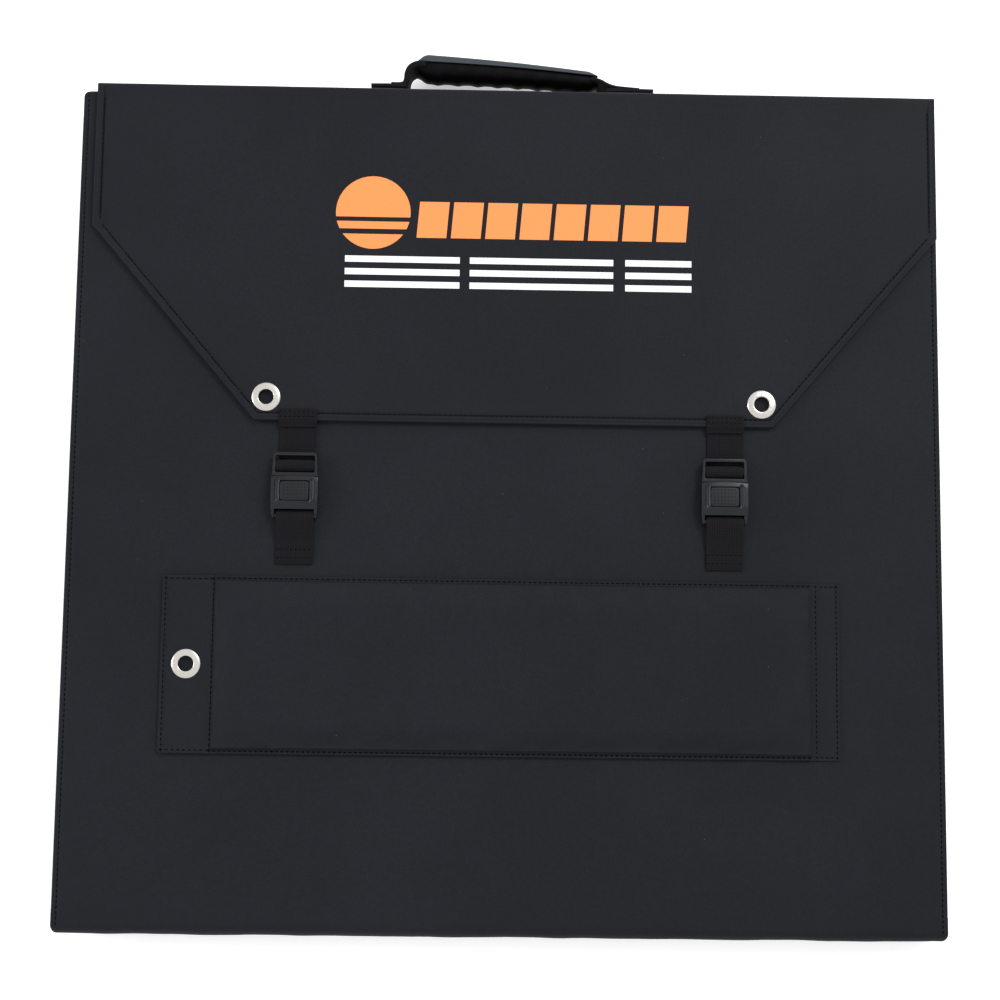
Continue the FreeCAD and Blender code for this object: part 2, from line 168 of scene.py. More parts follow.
def smoothPath(points, per=8, closed=False):
    # even run of points on a smooth curve through the given ones
    pts = [Vector(p) for p in points]
    count = len(pts)
    path = []
    for i in range(count if closed else count - 1):
        p0 = pts[(i - 1) % count] if closed or i else pts[0]
        p1, p2 = pts[i], pts[(i + 1) % count]
        p3 = pts[(i + 2) % count] if closed or i + 2 < count else pts[-1]
        for k in range(per):
            t = k / per
            path.append(0.5 * ((2 * p1) + (p2 - p0) * t + (2 * p0 - 5 * p1 + 4 * p2 - p3) * t * t
                               + (3 * p1 - p0 - 3 * p2 + p3) * t ** 3))
    return path if closed else path + [pts[-1]]


def webbing(name, material, path, across, width, thick, closed=False):
    # woven strap with rounded selvedges; "weave" holds the place across and along it for its material
    side = Vector(across).normalized()
    bm = bmesh.new()
    weave = bm.verts.layers.float_vector.new("weave")
    last = len(path) - 1
    upper = [(-1, 0.35), (-0.985, 0.8), (-0.95, 1), (-0.5, 1.03), (0, 1.04), (0.5, 1.03), (0.95, 1), (0.985, 0.8)]
    lower = [(u, -v) for u, v in reversed(upper[1:])]
    loop = upper + [(1, 0.35), (1, -0.35)] + lower + [(-0.985, -0.8), (-1, -0.35)]
    rings, run = [], 0.0
    for i, p in enumerate(path):
        ahead = path[(i + 1) % len(path)] if closed else path[min(i + 1, last)]
        behind = path[i - 1] if closed else path[max(i - 1, 0)]
        up = side.cross(ahead - behind).normalized()
        run += (p - path[i - 1]).length if i else 0.0
        ring = []
        for u, v in loop:
            vert = bm.verts.new(p + side * (u * width / 2) + up * (v * thick / 2))
            vert[weave] = (u * width / 2 * mm, run * mm, 0.0)
            ring.append(vert)
        rings.append(ring)
    skinRings(bm, rings, closed)
    return toObject(name, bm, material, 50.0)


def around(count):
    return [2 * math.pi * k / count for k in range(count)]


def lathe(bm, profile, x, y, turns=48):
    # ring turned about a line along Z through x, y; the profile is a closed loop of radius and height
    addLoft(bm, [[(x + r * math.cos(a), y + r * math.sin(a), z) for r, z in profile] for a in around(turns)],
            closed=True)


def cutWith(made, bm):
    # takes the shape in bm out of a mesh
    mesh = bpy.data.meshes.new("cutter")
    bm.to_mesh(mesh)
    bm.free()
    mesh.transform(Matrix.Scale(mm, 4))
    cutter = bpy.data.objects.new("cutter", mesh)
    scene.collection.objects.link(cutter)
    cut = made.modifiers.new("cut", "BOOLEAN")
    cut.object, cut.operation, cut.solver = cutter, "DIFFERENCE", "EXACT"
    bakeModifiers(made)
    bpy.data.objects.remove(cutter)
    made.data.set_sharp_from_angle(angle=math.radians(38))
    return made


def roundDrop(d, r):
    # how far a rounded edge of radius r has fallen at distance d from it
    if d >= r:
        return 0.0
    return r - math.sqrt(max(0.0, r * r - (r - d) ** 2))


def bell(d, width):
    return math.exp(-(d / width) ** 2)


def ramp(x, a, b):
    t = min(1.0, max(0.0, (x - a) / (b - a)))
    return t * t * (3 - 2 * t)


def nodeGroup(name, inputs, outputs):
    tree = bpy.data.node_groups.new(name, "ShaderNodeTree")
    for label, value in inputs:
        kind = "NodeSocketVector" if value is None else "NodeSocketFloat"
        socket = tree.interface.new_socket(label, in_out="INPUT", socket_type=kind)
        if value is not None:
            socket.default_value = value
    for label in outputs:
        tree.interface.new_socket(label, in_out="OUTPUT", socket_type="NodeSocketFloat")
    return tree, tree.nodes.new("NodeGroupInput").outputs, tree.nodes.new("NodeGroupOutput").inputs


def maths(tree, kind, a, b=None, c=None):
    node = tree.nodes.new("ShaderNodeMath")
    node.operation = kind
    for k, value in enumerate((a, b, c)):
        if value is None:
            continue
        if isinstance(value, (int, float)):
            node.inputs[k].default_value = value
        else:
            tree.links.new(value, node.inputs[k])
    return node.outputs[0]


def splitPlace(tree, place):
    split = tree.nodes.new("ShaderNodeSeparateXYZ")
    tree.links.new(place, split.inputs[0])
    return split.outputs


def noiseAt(tree, place, scale, detail=2.0):
    texture = tree.nodes.new("ShaderNodeTexNoise")
    texture.inputs["Scale"].default_value = scale
    texture.inputs["Detail"].default_value = detail
    tree.links.new(place, texture.inputs["Vector"])
    return texture.outputs[0]


def useGroup(tree, group, place, **values):
    node = tree.nodes.new("ShaderNodeGroup")
    node.node_tree = group
    for label, value in values.items():
        node.inputs[label].default_value = value
    tree.links.new(place, node.inputs["Place"])
    return node.outputs


def makeWeave():
    # diagonal cloth weave: crossed bands whose pitch is in metres, with slubs
    inputs = [("Place", None), ("Pitch", 0.0011), ("Slub", 0.35)]
    tree, start, end = nodeGroup("clothWeave", inputs, ["Height", "Fleck"])
    place = start["Place"]
    x, y, z = splitPlace(tree, place)
    rate = maths(tree, "DIVIDE", 2 * math.pi, start["Pitch"])
    along = maths(tree, "ADD", maths(tree, "ADD", x, y), z)
    bandA = maths(tree, "SINE", maths(tree, "MULTIPLY", along, rate))
    bandB = maths(tree, "SINE", maths(tree, "MULTIPLY", maths(tree, "SUBTRACT", x, y), rate))
    woven = maths(tree, "MULTIPLY", maths(tree, "ADD", bandA, 1.0), maths(tree, "MULTIPLY_ADD", bandB, 0.6, 1.0))
    slub = maths(tree, "MULTIPLY", noiseAt(tree, place, 420.0, 3.0), start["Slub"])
    tree.links.new(maths(tree, "MULTIPLY_ADD", woven, 0.3, slub), end["Height"])
    tree.links.new(noiseAt(tree, place, 9.0, 4.0), end["Fleck"])
    return tree


def makeDust():
    # sparse pale specks
    inputs = [("Place", None), ("Spread", 0.013), ("Amount", 0.02)]
    tree, start, end = nodeGroup("dustSpecks", inputs, ["Mask"])
    specks = tree.nodes.new("ShaderNodeTexVoronoi")
    specks.feature = "F1"
    tree.links.new(start["Place"], specks.inputs["Vector"])
    tree.links.new(maths(tree, "DIVIDE", 1.0, start["Spread"]), specks.inputs["Scale"])
    near = maths(tree, "LESS_THAN", specks.outputs["Distance"], start["Amount"])
    split = tree.nodes.new("ShaderNodeSeparateColor")
    tree.links.new(specks.outputs["Color"], split.inputs[0])
    few = maths(tree, "GREATER_THAN", split.outputs[0], 0.72)
    tree.links.new(maths(tree, "MULTIPLY", near, few), end["Mask"])
    return tree


weaveGroup = makeWeave()
dustGroup = makeDust()


def startMaterial(name, colour, rough, **plain):
    made = bpy.data.materials.new(name)
    made.use_nodes = True
    tree = made.node_tree
    shader = tree.nodes["Principled BSDF"]
    shader.inputs["Base Color"].default_value = (*colour, 1)
    shader.inputs["Roughness"].default_value = rough
    for socket, value in plain.items():
        shader.inputs[socket.replace("_", " ")].default_value = value
    place = tree.nodes.new("ShaderNodeTexCoord").outputs["Object"]
    return made, tree, shader, place


def mixColours(tree, mask, a, b):
    mix = tree.nodes.new("ShaderNodeMix")
    mix.data_type = "RGBA"
    tree.links.new(mask, mix.inputs[0])
    for k, value in ((6, a), (7, b)):
        if isinstance(value, tuple):
            mix.inputs[k].default_value = (*value, 1)
        else:
            tree.links.new(value, mix.inputs[k])
    return mix.outputs[2]


def bumpFrom(tree, shader, height, strength, distance):
    bump = tree.nodes.new("ShaderNodeBump")
    bump.inputs["Strength"].default_value = strength
    bump.inputs["Distance"].default_value = distance
    tree.links.new(height, bump.inputs["Height"])
    tree.links.new(bump.outputs[0], shader.inputs["Normal"])


def varyRough(tree, shader, value, amount, base):
    tree.links.new(maths(tree, "MULTIPLY_ADD", value, amount, base), shader.inputs["Roughness"])


def clothMaterial(name, dark, light, rough=0.62, pitch=0.0017, dust=0.022, strength=0.7):
    made, tree, shader, place = startMaterial(name, dark, rough, Specular_IOR_Level=0.11, Sheen_Weight=0.02,
                                              Sheen_Roughness=0.4, Sheen_Tint=(0.75, 0.83, 1.0, 1))
    weave = useGroup(tree, weaveGroup, place, Pitch=pitch)
    specks = useGroup(tree, dustGroup, place, Amount=dust)
    cloth = mixColours(tree, weave["Height"], dark, light)
    patchy = mixColours(tree, maths(tree, "MULTIPLY", weave["Fleck"], 0.5), cloth, dark)
    dusty = mixColours(tree, maths(tree, "MULTIPLY", specks["Mask"], 0.35), patchy, (0.16, 0.17, 0.18))
    tree.links.new(dusty, shader.inputs["Base Color"])
    varyRough(tree, shader, weave["Fleck"], 0.16, rough - 0.08)
    bumpFrom(tree, shader, weave["Height"], strength, 0.00016)
    return made


def webbingMaterial(name, dark, light, cordPitch=0.0016, ribPitch=0.0013):
    # ribs across the strap and cords along it
    made, tree, shader, place = startMaterial(name, dark, 0.8, Specular_IOR_Level=0.12, Sheen_Weight=0.02)
    weave = tree.nodes.new("ShaderNodeAttribute")
    weave.attribute_name = "weave"
    across, along, _ = splitPlace(tree, weave.outputs["Vector"])
    cords = maths(tree, "SINE", maths(tree, "MULTIPLY", across, 2 * math.pi / cordPitch))
    ribs = maths(tree, "SINE", maths(tree, "MULTIPLY", along, 2 * math.pi / ribPitch))
    height = maths(tree, "MULTIPLY", maths(tree, "ADD", ribs, cords), 0.3)
    height = maths(tree, "ADD", height, noiseAt(tree, place, 900.0))
    tree.links.new(mixColours(tree, height, dark, light), shader.inputs["Base Color"])
    bumpFrom(tree, shader, height, 0.6, 0.0002)
    return made


def mouldedMaterial(name, dark, light, rough, grain=900.0, strength=0.25, gloss=0.3):
    made, tree, shader, place = startMaterial(name, dark, rough, Specular_IOR_Level=gloss)
    handled = noiseAt(tree, place, 60.0)
    tree.links.new(mixColours(tree, handled, dark, light), shader.inputs["Base Color"])
    varyRough(tree, shader, handled, 0.2, rough - 0.1)
    bumpFrom(tree, shader, noiseAt(tree, place, grain), strength, 0.00008)
    return made


def metalMaterial(name, colour, rough):
    made, tree, shader, place = startMaterial(name, colour, rough, Metallic=1.0)
    scuffs = noiseAt(tree, place, 700.0, 5.0)
    worn = tuple(c * 0.86 for c in colour)
    tree.links.new(mixColours(tree, scuffs, worn, colour), shader.inputs["Base Color"])
    varyRough(tree, shader, scuffs, 0.18, rough - 0.08)
    bumpFrom(tree, shader, scuffs, 0.08, 0.00005)
    return made


def printMaterial(name, colour):
    # ink over cloth: the weave still shows through it
    made, tree, shader, place = startMaterial(name, colour, 0.6, Specular_IOR_Level=0.2)
    weave = useGroup(tree, weaveGroup, place)
    thin = tuple(c * 0.9 for c in colour)
    tree.links.new(mixColours(tree, weave["Height"], thin, colour), shader.inputs["Base Color"])
    bumpFrom(tree, shader, weave["Height"], 0.2, 0.0001)
    return made


def cellsMaterial(name, sheet):
    # dark square cells with fine collector lines, on a black backing sheet
    made, tree, shader, place = startMaterial(name, (0.004, 0.006, 0.014), 0.28, Coat_Weight=0.6,
                                              Coat_Roughness=0.12)
    step = (sheet["cell"] + sheet["gap"]) * mm

    def fromMiddle(part):
        return maths(tree, "ABSOLUTE", maths(tree, "SUBTRACT", part, 0.5))

    x, y, _ = splitPlace(tree, place)
    parts = [maths(tree, "FRACT", maths(tree, "DIVIDE", maths(tree, "ADD", v, 4 * step), step)) for v in (x, y)]
    halfCell = 0.5 - sheet["gap"] * mm / step / 2
    onCell = maths(tree, "MULTIPLY", *[maths(tree, "LESS_THAN", fromMiddle(part), halfCell) for part in parts])
    row = maths(tree, "FRACT", maths(tree, "DIVIDE", y, sheet["finger"] * mm))
    fingers = maths(tree, "MULTIPLY", maths(tree, "LESS_THAN", row, 0.1), 0.25)
    third = maths(tree, "FRACT", maths(tree, "MULTIPLY", parts[0], float(sheet["bars"])))
    bars = maths(tree, "LESS_THAN", fromMiddle(third), 0.02)
    lines = maths(tree, "MULTIPLY", maths(tree, "MAXIMUM", fingers, bars), onCell)
    cell = mixColours(tree, noiseAt(tree, place, 14.0), (0.003, 0.004, 0.010), (0.008, 0.012, 0.030))
    backed = mixColours(tree, onCell, (0.012, 0.012, 0.013), cell)
    tree.links.new(mixColours(tree, lines, backed, (0.30, 0.31, 0.33)), shader.inputs["Base Color"])
    dimple = tree.nodes.new("ShaderNodeTexVoronoi")
    dimple.inputs["Scale"].default_value = 900.0
    tree.links.new(place, dimple.inputs["Vector"])
    bumpFrom(tree, shader, dimple.outputs["Distance"], 0.12, 0.00005)
    return made


coverCloth = clothMaterial("coverCloth", (0.0030, 0.0034, 0.0048), (0.0205, 0.0220, 0.0295))
liningCloth = clothMaterial("liningCloth", (0.005, 0.005, 0.006), (0.012, 0.012, 0.014), 0.75, 0.0007)
strapWeave = webbingMaterial("strapWeave", (0.0021, 0.0019, 0.0026), (0.0078, 0.0074, 0.0092))
# sewing thread, darker than any of the cloth: partly the black thread's own colour, partly painted shade for the
# grooves the stitches sit in
threadAndStitchShade = mouldedMaterial("sewingThreadAndStitchShade", (0.0010, 0.0010, 0.0014), (0.0030, 0.0030, 0.0038), 0.8, 1500.0,
                         gloss=0.03)
bucklePlastic = mouldedMaterial("bucklePlastic", (0.0035, 0.0050, 0.0072), (0.0065, 0.0084, 0.0116), 0.36)
buttonPlastic = mouldedMaterial("buttonPlastic", (0.0022, 0.0030, 0.0044), (0.0044, 0.0056, 0.0076), 0.5)
gripRubber = mouldedMaterial("gripRubber", (0.0008, 0.0008, 0.0012), (0.0020, 0.0020, 0.0028), 0.5, 1400.0,
                             gloss=0.07)
gripPlastic = mouldedMaterial("gripPlastic", (0.026, 0.033, 0.042), (0.036, 0.044, 0.055), 0.5)
boardGrey = mouldedMaterial("boardGrey", (0.10, 0.10, 0.10), (0.14, 0.14, 0.135), 0.8, 500.0)
blackPlastic = mouldedMaterial("blackPlastic", (0.012, 0.012, 0.013), (0.02, 0.02, 0.021), 0.45)
nickel = metalMaterial("nickelPlate", (0.68, 0.655, 0.615), 0.26)
springSteel = metalMaterial("springSteel", (0.55, 0.55, 0.56), 0.35)
orangePrint = printMaterial("orangePrint", (0.88, 0.28, 0.085))
whitePrint = printMaterial("whitePrint", (0.80, 0.84, 0.88))
cells = cellsMaterial("solarCells", {"cell": 125.0, "gap": 2.0, "finger": 2.1, "bars": 3})
print("materials made")


def growthTree(name, numbers, material, segments, rings):
    # a bead on each point, made real and given its material; the caller links what goes in
    tree = bpy.data.node_groups.new(name, "GeometryNodeTree")
    sockets = [("Geometry", "INPUT", "Geometry")] + [(label, "INPUT", "Float") for label in numbers]
    sockets += [(material, "INPUT", "Material"), ("Geometry", "OUTPUT", "Geometry")]
    for label, way, kind in sockets:
        tree.interface.new_socket(label, in_out=way, socket_type="NodeSocket" + kind)
    node, link = tree.nodes.new, tree.links.new
    start, end = node("NodeGroupInput"), node("NodeGroupOutput")
    bead, place = node("GeometryNodeMeshUVSphere"), node("GeometryNodeInstanceOnPoints")
    bead.inputs["Segments"].default_value = segments
    bead.inputs["Rings"].default_value = rings
    real, paint = node("GeometryNodeRealizeInstances"), node("GeometryNodeSetMaterial")
    link(bead.outputs["Mesh"], place.inputs["Instance"])
    link(place.outputs[0], real.inputs[0])
    link(real.outputs[0], paint.inputs["Geometry"])
    link(start.outputs[material], paint.inputs["Material"])
    link(paint.outputs[0], end.inputs[0])
    return tree, start.outputs, bead.inputs, place.inputs


def stitchTree():
    # lays one thread bead at each step along the edges it is given
    tree, start, bead, place = growthTree("stitchRun", ("Pitch", "Length", "Thick"), "Thread", 6, 4)
    bead["Radius"].default_value = 0.5
    node, link = tree.nodes.new, tree.links.new
    curve, spaced = node("GeometryNodeMeshToCurve"), node("GeometryNodeResampleCurve")
    spaced.mode = "LENGTH"
    size, turn = node("ShaderNodeCombineXYZ"), node("FunctionNodeAlignRotationToVector")
    turn.axis = "X"
    link(start["Geometry"], curve.inputs[0])
    link(curve.outputs[0], spaced.inputs["Curve"])
    link(start["Pitch"], spaced.inputs["Length"])
    link(spaced.outputs[0], place["Points"])
    for k, label in enumerate(("Length", "Thick", "Thick")):
        link(start[label], size.inputs[k])
    link(size.outputs[0], place["Scale"])
    link(node("GeometryNodeInputTangent").outputs[0], turn.inputs["Vector"])
    link(turn.outputs[0], place["Rotation"])
    return tree


def dotTree():
    # sets one low round dot on each point it is given
    tree, start, bead, place = growthTree("raisedDots", ("Radius",), "Plastic", 10, 6)
    tree.links.new(start["Radius"], bead["Radius"])
    tree.links.new(start["Geometry"], place["Points"])
    return tree


stitchRun, raisedDots = stitchTree(), dotTree()


def grow(name, runs, tree, values):
    # runs a tree over lines of points and bakes what it makes
    mesh = bpy.data.meshes.new(name)
    points, edges = [], []
    for run in runs:
        first = len(points)
        points += [tuple(Vector(p) * mm) for p in run]
        edges += [(k, k + 1) for k in range(first, len(points) - 1)]
    mesh.from_pydata(points, edges if len(runs[0]) > 1 else [], [])
    made = bpy.data.objects.new(name, mesh)
    scene.collection.objects.link(made)
    work = made.modifiers.new("work", "NODES")
    work.node_group = tree
    for socket in tree.interface.items_tree:
        if socket.in_out == "INPUT" and socket.name in values:
            work[socket.identifier] = values[socket.name]
    bakeModifiers(made)
    made.data.shade_smooth()
    return made


def sew(name, body, runs, pitch=3.3, length=2.5, thick=0.72):
    sizes = {"Pitch": pitch * mm, "Length": length * mm, "Thick": thick * mm, "Thread": threadAndStitchShade}
    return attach(grow(name, runs, stitchRun, sizes), body)


fineStitch = (2.6, 1.9, 0.45)   # pitch, length and thickness on the webbing


def lineOf(a, b, heightAt, step=6.0):
    # points from a to b, lying on a surface
    count = max(2, int(math.dist(a, b) / step))
    line = []
    for k in range(count + 1):
        x = a[0] + (b[0] - a[0]) * k / count
        y = a[1] + (b[1] - a[1]) * k / count
        line.append((x, y, heightAt(x, y)))
    return line


def soft(x, y, size, seed):
    return noise.noise(Vector((x / size, y / size, seed)))


# six cloth-covered panels; panel 1 is the front, and even ones have their sun side up at rest
panel = {"count": 6, "corner": 4.0, "edge": 1.3, "skin": 1.0, "step": 7.0, "frontStep": 4.0, "seamIn": 3.4,
         "groove": 0.45, "waveHigh": 0.28, "waveSize": 85.0, "creaseHigh": 0.85}
panelBodies = ["front_panel", "panel_2", "panel_3", "panel_4", "panel_5", "back_panel"]


def cornerPlace(x, y, lo, hi, r):
    # turns the square corners of a grid into round ones
    cx = min(max(x, lo[0] + r), hi[0] - r)
    cy = min(max(y, lo[1] + r), hi[1] - r)
    dx, dy = x - cx, y - cy
    far = math.hypot(dx, dy)
    if dx == 0 or dy == 0:
        return x, y
    k = max(abs(dx), abs(dy)) / far
    return cx + dx * k, cy + dy * k


def edgeDistance(x, y, lo, hi, r):
    cx = min(max(x, lo[0] + r), hi[0] - r)
    cy = min(max(y, lo[1] + r), hi[1] - r)
    if x != cx and y != cy:
        return max(0.0, r - math.hypot(x - cx, y - cy))
    return max(0.0, min(x - lo[0], hi[0] - x, y - lo[1], hi[1] - y))


def pocketLines(a, b, pocketA, pocketB, step):
    near = [0, 0.3, 0.8, 1.5, 2.3, 3.0, 3.4, 3.8, 4.6, 6.5]
    lines = [a + d for d in near] + [b - d for d in near]
    pocket = [pocketA - 0.15, pocketA + 0.15, pocketB - 0.15, pocketB + 0.15]
    lines += pocket
    lines += [v for v in steps(a + 9, b - 9, step) if min(abs(v - p) for p in pocket) > 1.2]
    return sorted(set(lines))


def frontWaves(x, y):
    # soft unevenness of the front cover, with long shallow creases in its lower half
    high = panel["waveHigh"] * soft(x, y, panel["waveSize"], 3.1) + 0.12 * soft(x, y, 26.0, 8.2)
    low = ramp(-y, 20, 150)
    run = 0.55 * x - 0.84 * y
    bent = run + 14 * soft(x, y, 120.0, 5.5)
    crease = 1 - abs(math.sin(bent / 34.0))
    high += panel["creaseHigh"] * low * crease ** 6 * max(0.0, soft(x, y, 95.0, 9.7) + 0.25)
    return high


def panelCover(n):
    lo, hi = boxMm(f"panel_cover_{n}")
    pocketLo, pocketHi = boxMm(f"panel_board_{n}")
    sunUp, front = n % 2 == 0, n == 1
    r, deep = panel["corner"], hi[2] - lo[2] - panel["skin"]
    step = panel["frontStep"] if front else panel["step"]

    def inPocket(x, y):
        return pocketLo[0] < x < pocketHi[0] and pocketLo[1] < y < pocketHi[1]

    def beside(x):
        return min(x - lo[0], hi[0] - x)

    def drop(x, y):
        underFold = front and y < lo[1] + 6 and beside(x) > 6
        rounded = 0.0 if underFold else roundDrop(edgeDistance(x, y, lo, hi, r), panel["edge"])
        return rounded + panel["groove"] * bell(beside(x) - panel["seamIn"], 0.7)

    def topAt(x, y):
        if sunUp:
            return hi[2] - (deep if inPocket(x, y) else drop(x, y))
        waves = frontWaves(x, y) * ramp(beside(x), 2, 14) * ramp(y - lo[1], 6, 26) if front else 0.0
        return hi[2] - drop(x, y) + waves

    def lowAt(x, y):
        return lo[2] + (deep if not sunUp and inPocket(x, y) else drop(x, y) * 0.8)

    xs = pocketLines(lo[0], hi[0], pocketLo[0], pocketHi[0], step)
    ys = pocketLines(lo[1], hi[1], pocketLo[1], pocketHi[1], step)
    place = lambda x, y: cornerPlace(x, y, lo, hi, r)
    made = slab(f"panelCloth{n}", coverCloth, xs, ys, topAt, lowAt, place)
    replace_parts(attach(made, panelBodies[n - 1]), f"panel_cover_{n}")
    seam, foldTop = panel["seamIn"], hi[2] + 0.12
    onTop = lambda x, y: (topAt(x, y) if n > 1 or y > lo[1] + 9 else foldTop) + 0.10
    onLow = lambda x, y: lowAt(x, y) - 0.02
    firstY = lo[1] + (-0.5 if front else seam + 3)
    runs = []
    for x in (lo[0] + seam, hi[0] - seam):
        runs.append(lineOf((x, firstY), (x, hi[1] - seam), onTop))
        if n > 1:
            runs.append(lineOf((x, lo[1] + seam), (x, hi[1] - seam), onLow))
    if sunUp:
        for y in (lo[1] + seam + 2, hi[1] - seam - 2):
            runs.append(lineOf((lo[0] + seam, y), (hi[0] - seam, y), onTop))
    sew(f"panelStitches{n}", panelBodies[n - 1], runs)


for n in range(1, panel["count"] + 1):
    panelCover(n)
print("panels covered")


# cloth folds between neighbouring panels, made in their folded shape; the real ones open as the blanket unfolds
fold = {"axisY": 267.0, "radius": 6.42, "cloth": 0.8, "flange": 9.0, "proud": 0.20, "past": 3.8,
        "waveFree": 0.55, "waveTop": 0.12, "corner": 3.0, "step": 6.0}


def foldCloth(n):
    # fold between panels n and n + 1
    node = f"fold_strip_{n}{n + 1}"
    lo, hi = boxMm(node)
    atFoot = n % 2 == 1
    side = -1 if atFoot else 1
    axisY, axisZ = fold["axisY"] * side, (lo[2] + hi[2]) / 2
    r, inner, proud = fold["radius"], fold["radius"] - fold["cloth"], fold["proud"]
    half, end = axisY - side * fold["flange"] * 0.5, axisY - side * fold["flange"]
    wave = fold["waveFree"] if atFoot else fold["waveTop"]
    x0, x1 = lo[0] - fold["past"], hi[0] + fold["past"]

    def arc(radius, out):
        bent = []
        for k in range(17):
            c, s = math.cos(math.pi / 2 - math.pi * k / 16), math.sin(math.pi / 2 - math.pi * k / 16)
            bent.append((axisY + side * radius * (1 + (out - 1) * abs(c)) * c, axisZ + radius * s))
        return bent

    sections = []
    for x in linesBetween(x0, x1, fold["step"], [0, 0.4, 1.0, 1.9, 3.0]):
        out = 1 + wave / r * (soft(x, 4.0 * n, 42.0, 2.2) + 0.5 * soft(x, 9.0 * n, 15.0, 6.1))
        out -= roundDrop(min(x - x0, x1 - x), fold["corner"]) / r
        loop = [(end, axisZ + r - proud), (half, axisZ + r - 0.07)] + arc(r, out)
        loop += [(half, axisZ - r + 0.04), (end, axisZ - r + proud), (end, axisZ - inner)]
        loop += list(reversed(arc(inner, out))) + [(end, axisZ + inner)]
        sections.append([(x, y, max(0.0, z)) for y, z in loop])
    made = loft(f"foldCloth{n}{n + 1}", coverCloth, sections)
    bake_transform(made)
    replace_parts(made, node)


for n in range(1, panel["count"]):
    foldCloth(n)
print("folds made")


# spine: the cloth wall along the upper side, over a thin board
spine = {"seamsAt": (3.6, 36.0), "cloth": 0.8, "bulge": 0.35, "step": 6.0,
         "pulled": 6.4, "pulledAt": ((-81.6, 11.0), (80.0, 15.0)), "pullEnd": 10}


def spinePull(x, z):
    # the handle's sewn ends pull the cloth outward
    pull = 0.0
    for middle, half in spine["pulledAt"]:
        pull += 1 - ramp(abs(x - middle), half, half + spine["pullEnd"])
    return spine["pulled"] * pull * ramp(z, 3, 9) * ramp(36.4 - z, 0.2, 4.2)


def spineCloth():
    lo, hi = boxMm("spine_cover")
    outY, inY, topSeam = hi[1], hi[1] - spine["cloth"], spine["seamsAt"][1]
    sections = []
    for x in steps(lo[0], hi[0], spine["step"]):
        face = []
        for z in steps(lo[2] + 0.5, hi[2] - 0.5, 1.6):
            puff = spine["bulge"] * math.sin(math.pi * ramp(z, 2, 37)) * (0.7 + 0.6 * soft(x, z, 40.0, 1.3))
            puff -= 0.2 * sum(bell(z - s, 0.9) for s in spine["seamsAt"])
            face.append((x, outY - 0.25 + puff + spinePull(x, z), z))
        back = [(outY - 0.6, hi[2]), (lo[1], hi[2]), (lo[1], topSeam), (inY, topSeam), (inY, lo[2])]
        sections.append([(x, outY - 0.6, lo[2])] + face + [(x, y, z) for y, z in back])
    made = loft("spineCloth", coverCloth, sections)
    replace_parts(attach(made, "front_panel"), "spine_cover")
    along = steps(lo[0] + 4, hi[0] - 4, 12.0)
    sew("spineStitches", "front_panel", [[(x, outY - 0.30, z) for x in along] for z in spine["seamsAt"]])


spineCloth()


# flap: a cloth cover over a stiff sheet, its sides cut off slantwise at the foot
flap = {"middle": 4.5, "halfWide": 277.5, "topY": 275.4, "sideEndY": 181.7, "tipHalf": 168.5, "lowY": 53.7,
        "core": 40.6, "top": 42.4, "low": 40.0, "hem": 4.5, "hemHigh": 0.75, "edge": 0.9, "stitchIn": 4.9,
        "waveHigh": 0.35}


def flapHalf(y):
    if y >= flap["sideEndY"]:
        half = flap["halfWide"]
    else:
        t = (y - flap["lowY"]) / (flap["sideEndY"] - flap["lowY"])
        half = flap["tipHalf"] + (flap["halfWide"] - flap["tipHalf"]) * t
    return half - roundDrop(max(0.0, y - flap["lowY"]), 2.5)


def flapEdge(x, y):
    # distance in from the flap's free edges; its upper edge isn't one
    u = abs(x - flap["middle"])
    run = math.hypot(flap["halfWide"] - flap["tipHalf"], flap["sideEndY"] - flap["lowY"])
    slant = ((flap["sideEndY"] - flap["lowY"]) * (flap["tipHalf"] - u)
             + (flap["halfWide"] - flap["tipHalf"]) * (y - flap["lowY"])) / run
    return max(0.0, min(flap["halfWide"] - u, slant, y - flap["lowY"]))


def flapTop(x, y):
    d = flapEdge(x, y)
    hem = flap["hemHigh"] * ramp(flap["hem"] - d, -0.5, 0.5)
    inside = ramp(d, 5, 16) * ramp(flap["topY"] - y, 0, 12)
    waves = flap["waveHigh"] * soft(x, y, 95.0, 4.4) + 0.10 * soft(x, y, 24.0, 7.9)
    groove = 0.55 * bell(d - flap["stitchIn"], 0.6) + 0.30 * bell(d - 1.9, 0.45)
    return flap["top"] - 0.15 - roundDrop(d, flap["edge"]) + hem - groove + waves * inside


def flapGrid(near, step):
    band = near[-1]
    count = round(2 * flap["halfWide"] / step)
    inner = [-100 + 200 * k / count for k in range(count + 1)]
    low = [-100 - (band - d) for d in near[:-1]]
    xs = low + inner + [-v for v in reversed(low)]
    ys = [flap["lowY"] + d for d in near]
    ys += steps(ys[-1], flap["sideEndY"], step)[1:] + steps(flap["sideEndY"], flap["topY"], step)[1:]

    def place(x, y):
        half = flapHalf(y)
        if abs(x) <= 100:
            return flap["middle"] + (half - band) * x / 100, y
        return flap["middle"] + math.copysign(half - band + abs(x) - 100, x), y
    return xs, ys, place


def cylinderCutter(spots, radius, z0, z1):
    bm = bmesh.new()
    for x, y in spots:
        rings = [[(x + radius * math.cos(a), y + radius * math.sin(a), z)
                  for a in [2 * math.pi * k / 48 for k in range(48)]] for z in (z0, z1)]
        addLoft(bm, rings)
    return bm


eyelet = {"spots": [(-156.5, 69.0), (165.5, 69.0)], "legSpot": (-202.75, -104.05), "bore": 4.9, "wall": 5.7,
          "flange": 9.3, "hole": 5.75}


